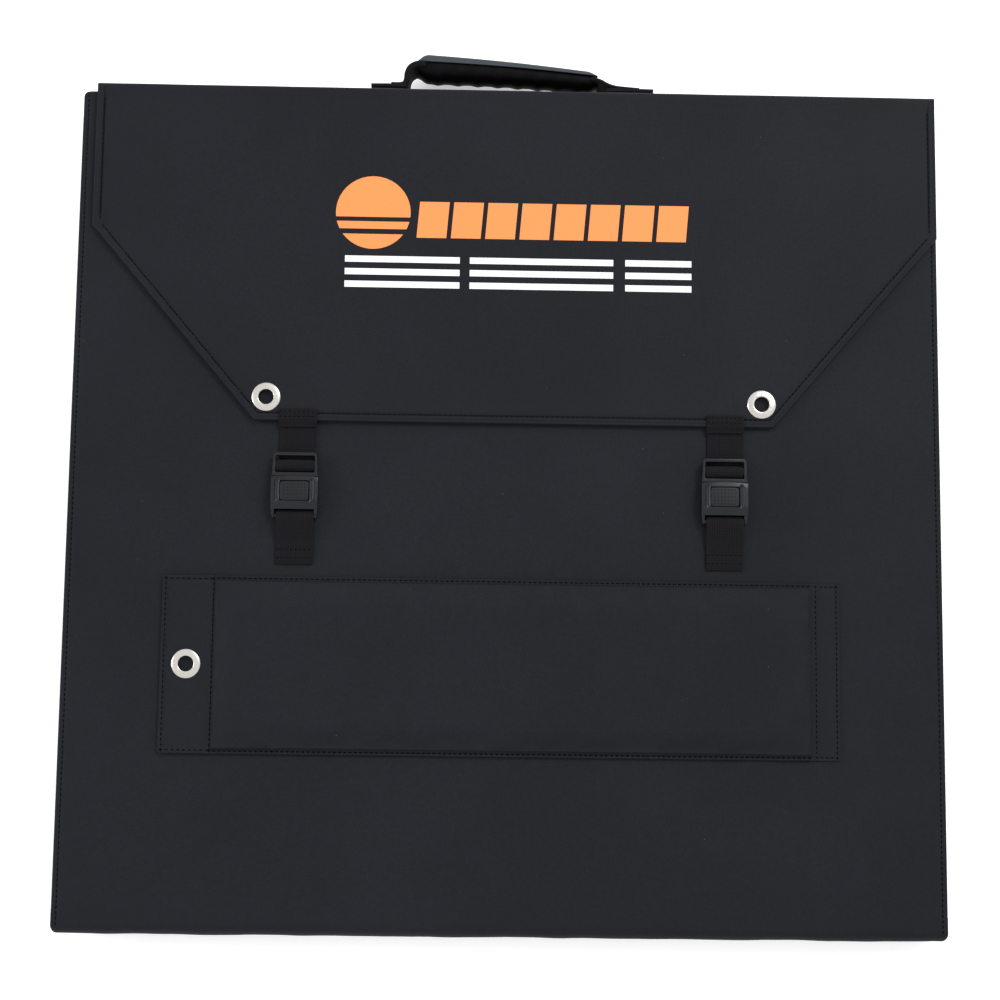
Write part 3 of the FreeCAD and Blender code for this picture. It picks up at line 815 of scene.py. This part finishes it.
def flapCloth():
    near = [0, 0.25, 0.6, 1.1, 1.6, 2.0, 2.4, 3.2, 4.0, 4.4, 4.8, 5.1, 5.5, 6.4, 8.5, 12.0]
    xs, ys, place = flapGrid(near, 5.0)
    cover = slab("flapCloth", coverCloth, xs, ys, flapTop, lambda x, y: flap["core"], place)
    cutWith(cover, cylinderCutter(eyelet["spots"], eyelet["hole"], 38, 46))
    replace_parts(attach(cover, "flap"), "flap_cover")
    xs, ys, place = flapGrid([0, 1.0, 3.0, 8.0], 20.0)
    onCore = lambda x, y: flap["core"] - 0.02
    lining = slab("flapLining", liningCloth, xs, ys, onCore, lambda x, y: flap["low"], place)
    cutWith(lining, cylinderCutter(eyelet["spots"], eyelet["hole"], 38, 46))
    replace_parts(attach(lining, "flap"), "flap_lining")
    onFlap = lambda x, y: flapTop(x, y) + 0.12
    mid, s = flap["middle"], flap["stitchIn"]
    cutWide, cutHigh = flap["halfWide"] - flap["tipHalf"], flap["sideEndY"] - flap["lowY"]
    slope = math.hypot(cutWide, cutHigh)
    runs = []
    for side in (-1, 1):
        sideX = mid + side * (flap["halfWide"] - s)
        tip = (mid + side * (flap["tipHalf"] - s * (slope - cutWide) / cutHigh), flap["lowY"] + s)
        knee = (sideX, flap["sideEndY"] + s * (slope - cutHigh) / cutWide)
        runs.append(lineOf((sideX, flap["topY"] - 2), knee, onFlap))
        runs.append(lineOf(knee, tip, onFlap))
    left = mid - flap["tipHalf"] + s
    runs.append(lineOf((left, flap["lowY"] + s), (2 * mid - left, flap["lowY"] + s), onFlap))
    sew("flapStitches", "flap", runs)


overEdge = {"radius": 2.9, "cloth": 0.8, "axisY": 275.7, "axisZ": 39.5, "ends": (-273.0, 282.0), "step": 6.0}


def flapFold():
    # cloth from the flap over the hinge line and down onto the spine
    r, cy, cz = overEdge["radius"], overEdge["axisY"], overEdge["axisZ"]
    inner, low = r - overEdge["cloth"], cz - r
    sections = []
    for x in steps(*overEdge["ends"], overEdge["step"]):
        out, back = [(cy - 7, cz + r - 0.35), (cy - 3, cz + r - 0.02)], [(cy - 7, cz + r - 1.0)]
        for k in range(13):
            a = math.pi / 2 - math.pi * k / 12
            reach = 1 + 0.05 * soft(x, 1.0, 30.0, 3.3) * math.cos(a)
            out.append((cy + r * reach * math.cos(a), cz + r * math.sin(a)))
            back.append((cy + inner * reach * math.cos(a), cz + inner * math.sin(a)))
        out += [(cy + 0.75, low - 1.0), (cy + 0.55, low - 6.0)]
        back += [(cy + 0.1, low - 1.0), (cy + 0.05, low - 6.0)]
        sections.append([(x, y, z) for y, z in out + list(reversed(back))])
    made = loft("flapFoldCloth", coverCloth, sections)
    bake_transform(made)
    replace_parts(made, "flap_fold")


flapCloth()
flapFold()
print("flap made")


# plain printed marks: a setting sun, upright blocks beside it and rows of thin bars below
marks = {"sun": (-89.6, 193.0, 24.5), "slots": ((-6.0, -3.0), (-14.5, -11.0)), "blocksX": (-61.0, 119.0),
         "blocksY": (176.5, 200.8), "blocks": 8, "gap": 3.0, "slant": 2.0, "high": 0.10,
         "barsY": (142.8, 163.8), "bars": 3, "barGroups": ((-107.5, -32.4), (-25.8, 68.3), (76.2, 119.7))}


def addInk(bm, xs, ys, place):
    addSlab(bm, xs, ys, lambda x, y: flapTop(x, y) + marks["high"], lambda x, y: flapTop(x, y) - 0.3, place)


def addMark(bm, x0, x1, y0, y1, slant=0.0):
    addInk(bm, steps(x0, x1, 3.0), steps(y0, y1, 2.0), lambda x, y: (x + slant * (y - y0) / (y1 - y0), y))


def printMarks():
    cx, cy, r = marks["sun"]
    wide = lambda t, y: (cx + t * math.sqrt(max(0.02, r * r - (y - cy) ** 2)), y)
    bm = bmesh.new()
    edges = [cy + r]
    for low, top in marks["slots"]:
        edges += [cy + top, cy + low]
    edges.append(cy - r)
    for top, low in zip(edges[::2], edges[1::2]):
        middle, half = (top + low) / 2, (top - low) / 2
        ys = [middle - half * math.cos(math.pi * k / 14) for k in range(15)]
        addInk(bm, steps(-1.0, 1.0, 0.08), ys, wide)
    x0, x1 = marks["blocksX"]
    pitch = (x1 - x0) / marks["blocks"]
    for k in range(marks["blocks"]):
        left = x0 + k * pitch
        addMark(bm, left, left + pitch - marks["gap"], *marks["blocksY"], slant=marks["slant"])
    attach(toObject("orangeMarks", bm, orangePrint), "flap")
    bm = bmesh.new()
    low, high = marks["barsY"]
    thick = (high - low) / (2 * marks["bars"] - 1)
    for k in range(marks["bars"]):
        for x0, x1 in marks["barGroups"]:
            addMark(bm, x0, x1, low + 2 * k * thick, low + (2 * k + 1) * thick)
    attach(toObject("whiteMarks", bm, whitePrint), "flap")


printMarks()
print("marks printed")


def eyeletRing(name, body, node, spots, top, low):
    # rolled ring: a flat flange above with a raised lip at its bore, and a washer below
    bore, wall, wide = eyelet["bore"], eyelet["wall"], eyelet["flange"]
    profile = [(bore, low + 0.3), (bore, top + 0.25), (bore + 0.15, top + 0.62), (bore + 0.55, top + 0.82),
               (bore + 1.1, top + 0.80), (bore + 2.2, top + 0.62), (wide - 0.9, top + 0.42),
               (wide - 0.25, top + 0.16), (wide, top - 0.12), (wide - 0.2, top - 0.2), (wall, top - 0.2),
               (wall, low + 0.7), (wide - 0.6, low + 0.7), (wide - 0.3, low + 0.4), (wide - 0.6, low + 0.05),
               (bore + 0.5, low)]
    bm = bmesh.new()
    for x, y in spots:
        lathe(bm, profile, x, y, 56)
    for vert in bm.verts:
        vert.co.z += 0.10 * noise.noise(vert.co / 3.1)   # small dents from setting it
    made = toObject(name, bm, nickel, 50.0)
    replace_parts(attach(made, body), node)


eyeletRing("flapEyelets", "flap", "flap_eyelets", eyelet["spots"], 42.5, 39.3)


# leg: a padded stiff strip with a flat tab at its free end, hinged on a sewn strip at its other end
leg = {"left": -219.25, "tabEnd": -188.25, "right": 195.75, "low": -160.8, "high": -47.3, "padLow": 39.3,
       "padTop": 43.9, "rim": 41.4, "crown": 1.7, "tabLow": 40.0, "tabTop": 41.6, "seam": 2.3, "step": 3.6,
       "swell": 1.0, "pressure": 4.0, "frames": 20}


def puffUp(made, pinned, cap, lowest):
    # blows a cushion up by cloth simulation, then holds each point to a short way from its start
    mesh = made.data
    before = [v.co.copy() for v in mesh.vertices]
    group = made.vertex_groups.new(name="sewn")
    group.add(pinned, 1.0, "REPLACE")
    work = made.modifiers.new("puff", "CLOTH")
    work.settings.vertex_group_mass = "sewn"
    work.settings.quality = 6
    work.settings.use_pressure = True
    work.settings.uniform_pressure_force = leg["pressure"]
    work.settings.shrink_min = -0.012
    work.settings.effector_weights.gravity = 0.0
    work.settings.tension_stiffness = 22.0
    work.settings.bending_stiffness = 0.8
    work.point_cache.frame_start, work.point_cache.frame_end = 1, leg["frames"]
    for frameNumber in range(1, leg["frames"] + 1):
        scene.frame_set(frameNumber)
    bakeModifiers(made)
    scene.frame_set(1)
    for v, start in zip(made.data.vertices, before):
        move = v.co - start
        if move.length > cap * mm:
            move *= cap * mm / move.length
        move.x, move.y = move.x * 0.5, move.y * 0.5
        v.co = start + move
        onBoard = start.z > (leg["padTop"] - 0.15) * mm
        v.co.z = max(v.co.z, start.z - 0.05 * mm if onBoard else lowest * mm)
    made.vertex_groups.clear()


def legPad():
    x0, x1, y0, y1 = leg["tabEnd"], leg["right"] + 0.75, leg["low"], leg["high"]
    near = [0, 0.4, 0.9, 1.5, 2.1, 2.5, 2.8, 3.1, 3.4, 3.7, 4.1, 5.2, 7.0]
    xs = sorted(set(linesBetween(x0, x1, leg["step"], near)))
    ys = sorted(set(linesBetween(y0, y1, leg["step"], near)))
    seam = leg["seam"]

    def inward(x, y):
        return max(0.0, min(x - x0, y - y0, y1 - y))

    def topAt(x, y):
        d = inward(x, y)
        rim = leg["rim"] - roundDrop(d, 0.6)
        rise = (leg["padTop"] - leg["rim"]) * ramp(d, seam - 0.1, 3.7)
        crown = leg["crown"] * ramp(min(d, (x1 - x) + 4), 4, 17)
        return rim + rise + crown - 0.3 * bell(d - seam + 0.5, 0.4) - roundDrop(x1 - x, 2.0)

    def lowAt(x, y):
        return leg["padLow"] + 0.8 * (1 - ramp(inward(x, y), 0, 4)) + 0.1

    pad = slab("legPad", coverCloth, xs, ys, topAt, lowAt)
    sewn = lambda x, y: inward(x, y) <= seam + 0.5 or x > x1 - 1.8
    pinned = [v.index for v in pad.data.vertices if sewn(v.co.x / mm, v.co.y / mm)]
    puffUp(pad, pinned, leg["swell"], leg["padLow"])
    pad.data.set_sharp_from_angle(angle=math.radians(50))
    smooth = pad.modifiers.new("smooth", "SUBSURF")
    smooth.levels = smooth.render_levels = 1
    bakeModifiers(pad)
    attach(pad, "leg")
    onSeam = lambda x, y: leg["rim"] + 0.02
    runs = [lineOf((x0 + 1.5, y), (x1 - 1.5, y), onSeam) for y in (y0 + seam - 0.5, y1 - seam + 0.5)]
    runs.append(lineOf((x0 + seam - 0.5, y0 + seam), (x0 + seam - 0.5, y1 - seam), onSeam))
    sew("legPadStitches", "leg", runs)
    return pad


def legTab():
    x0, x1, y0, y1 = leg["left"], leg["tabEnd"] + 1.5, leg["low"], leg["high"]
    near = [0, 0.3, 0.8, 1.4, 2.0, 2.6, 3.0, 3.4, 4.2]
    xs = sorted(set(linesBetween(x0, x1, 3.0, near)))
    ys = sorted(set(linesBetween(y0, y1, 4.0, near)))
    lo, hi = (x0, y0), (x1 + 20, y1)

    def topAt(x, y):
        d = edgeDistance(x, y, lo, hi, 2.0)
        pucker = 0.16 * soft(x, y, 17.0, 2.9) * ramp(d, 2, 9)
        hem = 0.3 * ramp(3.6 - d, 0, 0.8) - 0.25 * bell(d - 3.0, 0.5)
        return leg["tabTop"] - 0.25 - roundDrop(d, 0.6) + hem + pucker

    tab = slab("legTab", coverCloth, xs, ys, topAt, lambda x, y: leg["tabLow"] - 0.2,
               lambda x, y: cornerPlace(x, y, lo, hi, 2.0))
    cutWith(tab, cylinderCutter([eyelet["legSpot"]], eyelet["hole"], 38, 46))
    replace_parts(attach(tab, "leg"), "leg_cover")
    onTab = lambda x, y: topAt(x, y) + 0.12
    s = leg["seam"]
    sew("legTabStitches", "leg", [lineOf((x0 + s, y0 + s), (x0 + s, y1 - s), onTab),
                                  lineOf((x0 + s, y0 + s), (x1 - 1, y0 + s), onTab),
                                  lineOf((x0 + s, y1 - s), (x1 - 1, y1 - s), onTab)])


def legHinge():
    # flat cloth sewn to the front cover, running on into the leg's pad
    lo, hi = boxMm("leg_hinge_strip")
    x0, x1, firstSeam = leg["right"] - 2.5, hi[0], lo[0] + 3.1
    near = [0, 0.3, 0.8, 1.4, 2.0, 2.6, 3.2]
    xs = sorted(set(linesBetween(x0, x1, 2.0, near)))
    ys = sorted(set(linesBetween(lo[1], hi[1], 4.0, near)))
    box0, box1 = (x0 - 20, lo[1]), (x1, hi[1])

    def topAt(x, y):
        d = edgeDistance(x, y, box0, box1, 1.5)
        up = 0.9 * (1 - ramp(x, leg["right"] - 1.0, lo[0] + 2.0))
        stitched = 0.22 * bell(d - 2.2, 0.5) + 0.22 * bell(x - firstSeam, 0.5)
        return hi[2] + 0.1 - roundDrop(d, 0.5) + up - stitched + 0.12 * soft(x, y, 15.0, 6.6) * ramp(d, 2, 6)

    def lowAt(x, y):
        return lo[2] + 0.9 * (1 - ramp(x, leg["right"] - 1.0, lo[0] + 1.5)) - 0.15

    made = slab("legHingeCloth", coverCloth, xs, ys, topAt, lowAt,
                lambda x, y: cornerPlace(x, y, box0, box1, 1.5))
    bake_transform(made)
    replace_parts(made, "leg_hinge_strip")
    on = lambda x, y: topAt(x, y) + 0.12
    runs = [lineOf((x, lo[1] + 2), (x, hi[1] - 2), on) for x in (firstSeam, x1 - 2.2)]
    runs += [lineOf((firstSeam, y), (x1 - 2.2, y), on) for y in (lo[1] + 2.2, hi[1] - 2.2)]
    sew("legHingeStitches", "front_panel", runs)


legPad()
legTab()
legHinge()
eyeletRing("legEyelet", "leg", "leg_eyelet", [eyelet["legSpot"]], 41.75, 39.3)
print("leg made")


# straps: a folded tab on the flap, webbing down to the buckle, and webbing up from its sewn end
strap = {"wide": 25.0, "thick": 1.4,   # and y and z of each run's points
         "tab": [(61.0, 43.15), (57.5, 43.45), (54.9, 43.4), (53.3, 43.15), (51.6, 42.4), (49.7, 41.9)],
         "bare": [(53.0, 40.9), (49.0, 40.5), (42.0, 40.2), (34.0, 40.15), (26.0, 40.1), (20.2, 40.1)],
         "low": [(-39.3, 39.9), (-37.0, 40.25), (-33.0, 40.5), (-28.0, 40.75), (-23.0, 41.5), (-18.0, 42.9),
                 (-13.0, 44.4), (-9.6, 45.2), (-6.9, 44.6), (-5.9, 42.7), (-6.9, 40.9), (-9.6, 40.3),
                 (-14.0, 40.25), (-22.0, 40.1), (-25.0, 40.05)]}
sides = {"left": -136.3, "right": 140.7}


def strapPath(x, points, per=6, closed=False):
    return smoothPath([(x, y, z) for y, z in points], per, closed)


def strapSet(side, x):
    wide, thick, across = strap["wide"], strap["thick"], (1, 0, 0)
    tab = webbing(f"flapTab_{side}", strapWeave, strapPath(x + 0.9, strap["tab"]), across, wide - 0.5, thick)
    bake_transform(tab)
    path = strapPath(x + 0.9, strap["bare"])
    bare = webbing(f"upperWebbing_{side}", strapWeave, path, across, wide - 1.8, thick)
    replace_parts(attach(bare, f"upper_webbing_{side}"), f"upper_strap_{side}")
    loop = strapPath(x, [(23.8 + 3.1 * math.cos(a), 44.2 + 2.5 * math.sin(a)) for a in around(12)], 4, True)
    rolled = webbing(f"buckleWebbing_{side}", strapWeave, loop, across, wide - 0.9, thick, True)
    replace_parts(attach(rolled, f"male_buckle_{side}"), f"buckle_loop_{side}")
    path = strapPath(x + 0.4, strap["low"])
    lower = webbing(f"lowerWebbing_{side}", strapWeave, path, across, wide - 0.9, thick)
    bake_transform(lower)
    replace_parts(lower, f"lower_strap_{side}")
    half = wide / 2 - 2.2
    for name, body, rows in (("tabStitches", "flap", ((59.4, 44.05), (56.0, 44.20))),
                             ("lowerStrapStitches", "front_panel", ((-35.4, 41.12), (-30.0, 41.40)))):
        runs = [lineOf((x - half, y), (x + half, y), lambda a, b, z=z: z) for y, z in rows]
        sew(f"{name}_{side}", body, runs, *fineStitch)
    return tab


tabs = [strapSet(side, x) for side, x in sides.items()]
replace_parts(tabs[0], "flap_strap_tabs")
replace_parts(tabs[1], "flap_strap_tabs")
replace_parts(bpy.data.objects["lowerWebbing_left"], "strap_anchors")
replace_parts(bpy.data.objects["lowerWebbing_right"], "strap_anchors")


def roundedOutline(points, radius, per=6):
    # closed outline with each corner rounded by its own radius
    outline = []
    count = len(points)
    for i in range(count):
        p = Vector(points[i])
        r = radius[i] if isinstance(radius, (list, tuple)) else radius
        before, after = (Vector(points[i - 1]) - p), (Vector(points[(i + 1) % count]) - p)
        if r <= 0:
            outline.append(tuple(p))
            continue
        turn = before.angle(after)
        reach = min(r / math.tan(turn / 2), before.length * 0.49, after.length * 0.49)
        a, b = p + before.normalized() * reach, p + after.normalized() * reach
        for k in range(per + 1):
            t = k / per
            outline.append(tuple(a * (1 - t) ** 2 + p * 2 * t * (1 - t) + b * t ** 2))
    return outline


def prism(bm, outline, x, z0, z1):
    rings = [[(x + px, py, z(px, py) if callable(z) else z) for px, py in outline] for z in (z0, z1)]
    addLoft(bm, rings)


def soften(made, width, segments=3):
    bevel = made.modifiers.new("soften", "BEVEL")
    bevel.width = width * mm
    bevel.segments = segments
    bevel.limit_method = "ANGLE"
    bevel.angle_limit = math.radians(40)
    bevel.use_clamp_overlap = True
    bakeModifiers(made)
    made.data.shade_smooth()
    made.data.set_sharp_from_angle(angle=math.radians(46))
    return made


buckle = {"seam": 16.7, "frameHalf": 14.7, "frameLow": 17.0, "frameTop": 32.0, "bodyHalf": 15.0, "bodyLow": -4.5,
          "bodyTop": 48.6, "bodyFloor": 39.6, "buttonHalf": 9.2, "buttonLow": 0.8, "buttonHigh": 13.6,
          "socketHalf": 10.9, "windowHalf": 9.5, "dotPitch": 2.25, "dotRadius": 0.42,
          "horn": [(12.8, -3.9), (14.9, -3.9), (14.7, -7.5), (14.1, -10.3), (13.2, -10.2), (12.8, -7.0)],
          # each slot: y from and to, z from and to, half width
          "slots": ((26.1, 30.3, 38, 50, 12.7), (19.2, 22.9, 38, 50, 12.7), (19.9, 27.6, 45.2, 50, 12.6),
                    (20.4, 33.5, 38, 42.4, 12.5))}


def maleFrame(side, x):
    half, low, top = buckle["frameHalf"], buckle["frameLow"], buckle["frameTop"]
    corners = [(-half, low), (half, low), (half - 0.9, top), (-half + 0.9, top)]
    outline = roundedOutline(corners, [0.3, 0.3, 2.6, 2.6], 8)
    outline = [(px, py + 0.45 * (1 - (px / half) ** 2) * ramp(abs(py - 24.5), 5, 7)) for px, py in outline]
    bm = bmesh.new()
    prism(bm, outline, x, 41.1, lambda px, py: 46.6 - 0.4 * (px / half) ** 2)
    made = toObject(f"maleFrame_{side}", bm, bucklePlastic)
    for y0, y1, z0, z1, wide in buckle["slots"]:
        cutter = bmesh.new()
        slot = roundedOutline([(-wide, y0), (wide, y0), (wide - 0.1, y1), (0.1 - wide, y1)], 0.7)
        prism(cutter, slot, x, z0, z1)
        cutWith(made, cutter)
    soften(made, 0.3)
    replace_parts(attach(made, f"male_buckle_{side}"), f"male_frame_{side}")


def femaleBody(side, x):
    f = buckle
    half, deep, wide = f["bodyHalf"], f["socketHalf"], f["windowHalf"]

    def topAt(px, py):
        ends = 1.6 * ramp(-py, -1.0, 4.5) + 0.5 * ramp(py, 13.5, 16.7)
        return f["bodyTop"] - 0.9 * abs((px - x) / half) ** 3 - ends

    def bowed(px, py):
        return px, py + (0.4 * (1 - ((px - x) / half) ** 2) - 0.4) * ramp(py, 8, 16)

    bm = bmesh.new()
    addSlab(bm, [x + v for v in linesBetween(-half, half, 1.2, [0, 0.5])], steps(f["bodyLow"], f["seam"], 1.1),
            topAt, lambda px, py: f["bodyFloor"], bowed)
    made = toObject(f"femaleBody_{side}", bm, bucklePlastic)
    window = roundedOutline([(-wide, 0.55), (wide, 0.55), (wide, 13.85), (-wide, 13.85)], 1.6)
    socket = roundedOutline([(-deep, 0.3), (deep, 0.3), (deep, 20), (-deep, 20)], 0.4)
    for outline, z0, z1 in ((window, 44.6, 52), (socket, 41.2, 45.2)):
        cutter = bmesh.new()
        prism(cutter, outline, x, z0, z1)
        cutWith(made, cutter)
    scoops = bmesh.new()
    for s in (-1, 1):   # a long scoop on each side of the button
        rings = []
        for y in steps(-0.6, 15.4, 0.8):
            t = (y - 7.4) / 8.0
            middle, depth = x + s * (11.2 - 0.36 * t * t), 2.35 - 3.5 * max(0.0, abs(t) - 0.8)
            rings.append([(middle + 2.1 * math.cos(a), y, f["bodyTop"] + 0.75 + depth * math.sin(a))
                          for a in around(20)])
        addLoft(scoops, rings)
    cutWith(made, scoops)
    soften(made, 0.28)
    extra = bmesh.new()
    for s in (-1, 1):
        horn = [(s * px, py) for px, py in f["horn"]]
        if s < 0:
            horn.reverse()
        outline = roundedOutline(horn, [0, 0, 2.0, 0.5, 0.4, 2.0])
        prism(extra, outline, x, 40.2, lambda px, py: 46.0 - 1.2 * ramp(-py, 4.5, 10.3))
    bar = [(-8.4 + 1.6 * math.cos(a), 42.7 + 1.6 * math.sin(a)) for a in around(20)]
    addLoft(extra, [[(x + px, y, z) for y, z in bar] for px in (-13.4, 13.4)])
    horns = toObject(f"femaleHorns_{side}", extra, bucklePlastic)
    soften(horns, 0.25, 2)
    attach(horns, f"female_buckle_{side}")
    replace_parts(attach(made, f"female_buckle_{side}"), f"female_body_{side}")


def releaseButton(side, x):
    f = buckle
    half, y0, y1 = f["buttonHalf"], f["buttonLow"], f["buttonHigh"]
    bm = bmesh.new()
    middle = (y0 + y1) / 2
    hull = lambda px, py: 48.25 - 0.35 * (px / half) ** 2 - 0.25 * ((py - middle) / 6.4) ** 2
    lo, hi = (-half, y0), (half, y1)
    addSlab(bm, steps(-half, half, 1.0), steps(y0, y1, 1.0), hull, lambda px, py: 45.6,
            lambda px, py: cornerPlace(px, py, lo, hi, 1.8))
    for vert in bm.verts:
        vert.co.x += x
    made = toObject(f"releaseButton_{side}", bm, buttonPlastic)
    soften(made, 0.45)
    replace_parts(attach(made, f"button_{side}"), f"release_button_{side}")
    spots = []
    pitch = f["dotPitch"]
    for i in range(7):
        for j in range(5):
            px, py = (i - 3) * pitch, (j - 2) * pitch
            spots.append([(x + px, middle + py, hull(px, middle + py) + 0.02)])
    sizes = {"Radius": f["dotRadius"] * mm, "Plastic": buttonPlastic}
    dots = grow(f"buttonDots_{side}", spots, raisedDots, sizes)
    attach(dots, f"button_{side}")


def buttonSpring(side, x):
    # a bent leaf under the button, made in its resting shape; the real one flattens as the button is pressed
    lo, hi = boxMm(f"button_spring_{side}")
    leaf = [(hi[1], lo[2] + 0.3), (7.0, lo[2] + 0.3), (4.2, 42.0), (lo[1] + 0.4, 43.3), (4.2, 44.5),
            (7.2, hi[2] - 0.4), (hi[1], hi[2] - 0.5)]
    made = webbing(f"buttonSpring_{side}", springSteel, strapPath(x, leaf), (1, 0, 0), 5.6, 0.35)
    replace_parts(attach(made, f"female_buckle_{side}"), f"button_spring_{side}")
    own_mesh(made)


for side, x in sides.items():
    maleFrame(side, x)
    femaleBody(side, x)
    releaseButton(side, x)
    buttonSpring(side, x)
print("buckles made")


# handle: a ribbed rubber grip under a smooth cover, hung between two straps
handle = {"left": -62.5, "right": 58.5, "middleY": (298.0, 289.9), "deep": (9.1, 6.0), "high": 11.0,
          "middleZ": 19.5, "ridges": 9, "ridgeHigh": 0.9, "bandLow": 3.6,
          "strapLeft": [(-80.0, 284.2), (-74.0, 284.2), (-70.8, 285.4), (-69.6, 288.6), (-69.2, 292.6),
                        (-67.2, 296.8), (-62.8, 299.2), (-57.0, 299.4)],
          "strapRight": [(54.0, 291.0), (59.5, 289.8), (64.0, 287.4), (69.0, 285.6), (75.0, 284.8),
                         (86.0, 284.0)]}


def gripAt(x):
    # the grip's centre line and half depth at x, with its ends drawn in
    t = (x - handle["left"]) / (handle["right"] - handle["left"])
    y = handle["middleY"][0] + (handle["middleY"][1] - handle["middleY"][0]) * t + 1.1 * math.sin(math.pi * t)
    deep = handle["deep"][0] + (handle["deep"][1] - handle["deep"][0]) * t
    near = min(x - handle["left"], handle["right"] - x)
    shrink = 1 - 0.42 * (1 - ramp(near, 0, 9)) ** 2
    return y, deep, shrink, near


def gripRibs():
    sections = []
    for x in steps(handle["left"], handle["right"], 0.9):
        y, deep, shrink, near = gripAt(x)
        along = (x - handle["left"]) / (handle["right"] - handle["left"])
        ridge = math.cos(math.pi * handle["ridges"] * along) ** 4
        within = ramp(near, 3, 12)
        loop = []
        for k in range(40):
            a = 2 * math.pi * k / 40
            c, s = math.cos(a), math.sin(a)
            under = max(0.0, -c + 0.35) / 1.35
            bumpOut = handle["ridgeHigh"] * ridge * under * within
            square = 0.6 if c > 0 else 1.0   # round on the fingers' side
            flat = math.copysign(abs(c) ** square, c)
            tall = math.copysign(abs(s) ** square, s)
            out = deep * shrink - 1.0 + (bumpOut if c < 0 else 0)
            up = (handle["high"] - 0.9) * (0.8 + 0.2 * shrink) + bumpOut * 0.8
            loop.append((x, y + flat * out, handle["middleZ"] + tall * up))
        sections.append(loop)
    made = loft("gripRibs", gripRubber, sections, sharp=60.0)
    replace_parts(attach(made, "handle"), "grip_core")


def gripCover():
    sections = []
    low = handle["bandLow"]
    for x in steps(handle["left"] + 0.2, handle["right"] - 0.2, 1.5):
        y, deep, shrink, near = gripAt(x)
        ends = 1 - 0.75 * (1 - ramp(near, -1.0, 4.0)) ** 2
        outer, inner = [], []
        for k in range(25):
            a = -math.pi / 2 + math.pi * k / 24
            c, s = math.cos(a), math.sin(a)
            tall = math.copysign(abs(s) ** 0.5, s)
            reach = max(0.6, deep * shrink + 0.6 - low)
            up = tall * (0.82 + 0.18 * ends)
            outer.append((x, y + low + c ** 0.5 * reach * ends, handle["middleZ"] + up * (handle["high"] + 0.3)))
            inner.append((x, y + low + c ** 0.55 * (reach * ends - 1.1) * 0.9,
                          handle["middleZ"] + up * (handle["high"] - 0.8)))
        sections.append(outer + list(reversed(inner)))
    made = loft("gripCover", gripPlastic, sections, sharp=50.0)
    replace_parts(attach(made, "handle"), "grip_cover")


def handleStraps():
    z = handle["middleZ"]
    across = (0, 0, 1)
    for side in ("left", "right"):
        lo, hi = boxMm(f"handle_patch_{side}")
        y = lo[1] + spine["pulled"] + 0.9 + (0.5 if side == "left" else 0.0)
        path = smoothPath([(lo[0], y, z), ((lo[0] + hi[0]) / 2, y + 0.2, z), (hi[0], y, z)], 6)
        patch = webbing(f"handlePatch_{side}", strapWeave, path, across, 26.0, 2.6)
        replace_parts(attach(patch, "front_panel"), f"handle_patch_{side}")
        y += 1.5
        rows = [[(v, y, z + h) for h in steps(-10.5, 10.5, 3.0)] for v in (lo[0] + 1.8, hi[0] - 1.8)]
        rows += [[(v, y, z + h) for v in steps(lo[0] + 2, hi[0] - 2, 3.0)] for h in (-10.8, 10.8)]
        sew(f"patchStitches_{side}", "front_panel", rows, *fineStitch)
    for side, points, thick in (("left", handle["strapLeft"], 4.0), ("right", handle["strapRight"], 2.4)):
        path = smoothPath([(x, y, z) for x, y in points], 6)
        made = webbing(f"handleStrap_{side}", strapWeave, path, across, 25.0, thick)
        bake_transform(made)
        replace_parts(made, f"handle_strap_{side}")


gripRibs()
gripCover()
handleStraps()
print("handle made")


# the frame's own pieces that stay, each with its finish
finishes = {"panel_board": boardGrey, "solar_sheet": cells, "flap_stiffener": boardGrey,
            "leg_board": boardGrey, "spine_board": boardGrey, "junction_box": blackPlastic,
            "cable_gland": gripRubber, "male_tongues": bucklePlastic, "button_spring": springSteel}
for name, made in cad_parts.items():
    for start, material in finishes.items():
        if name.startswith(start):
            for place in made.material_slots:
                place.material = material


# floor, light and the look of the picture
floor = {"half": 3000, "top": -0.3, "low": -4.0, "grey": 0.93, "glow": 0.34}
floorMaterial = startMaterial("paleFloor", (floor["grey"],) * 3, 0.9, Specular_IOR_Level=0.1,
                              Emission_Color=(1, 1, 1, 1), Emission_Strength=floor["glow"])[0]
bm = bmesh.new()
across = [-floor["half"], floor["half"]]
addSlab(bm, across, across, lambda x, y: floor["top"], lambda x, y: floor["low"])
floorObject = toObject("floor", bm, floorMaterial)

light = {"sky": 1.0, "key": 28.0, "place": (1.1, 1.2, 1.9), "size": 0.9, "fill": 14.0,
         "fillPlace": (-1.9, 0.1, 0.9)}
world = bpy.data.worlds.new("world")
scene.world = world
world.use_nodes = True
world.node_tree.nodes["Background"].inputs[0].default_value = (1, 1, 1, 1)
world.node_tree.nodes["Background"].inputs[1].default_value = light["sky"]
for label, where in (("key", light["place"]), ("fill", light["fillPlace"])):
    data = bpy.data.lights.new(label, "AREA")
    data.shape = "DISK"
    data.size = light["size"]
    data.energy = light[label]
    lamp = bpy.data.objects.new(label, data)
    lamp.location = where
    lamp.rotation_euler = Vector(where).to_track_quat("Z", "Y").to_euler()
    scene.collection.objects.link(lamp)
scene.view_settings.view_transform = "Standard"
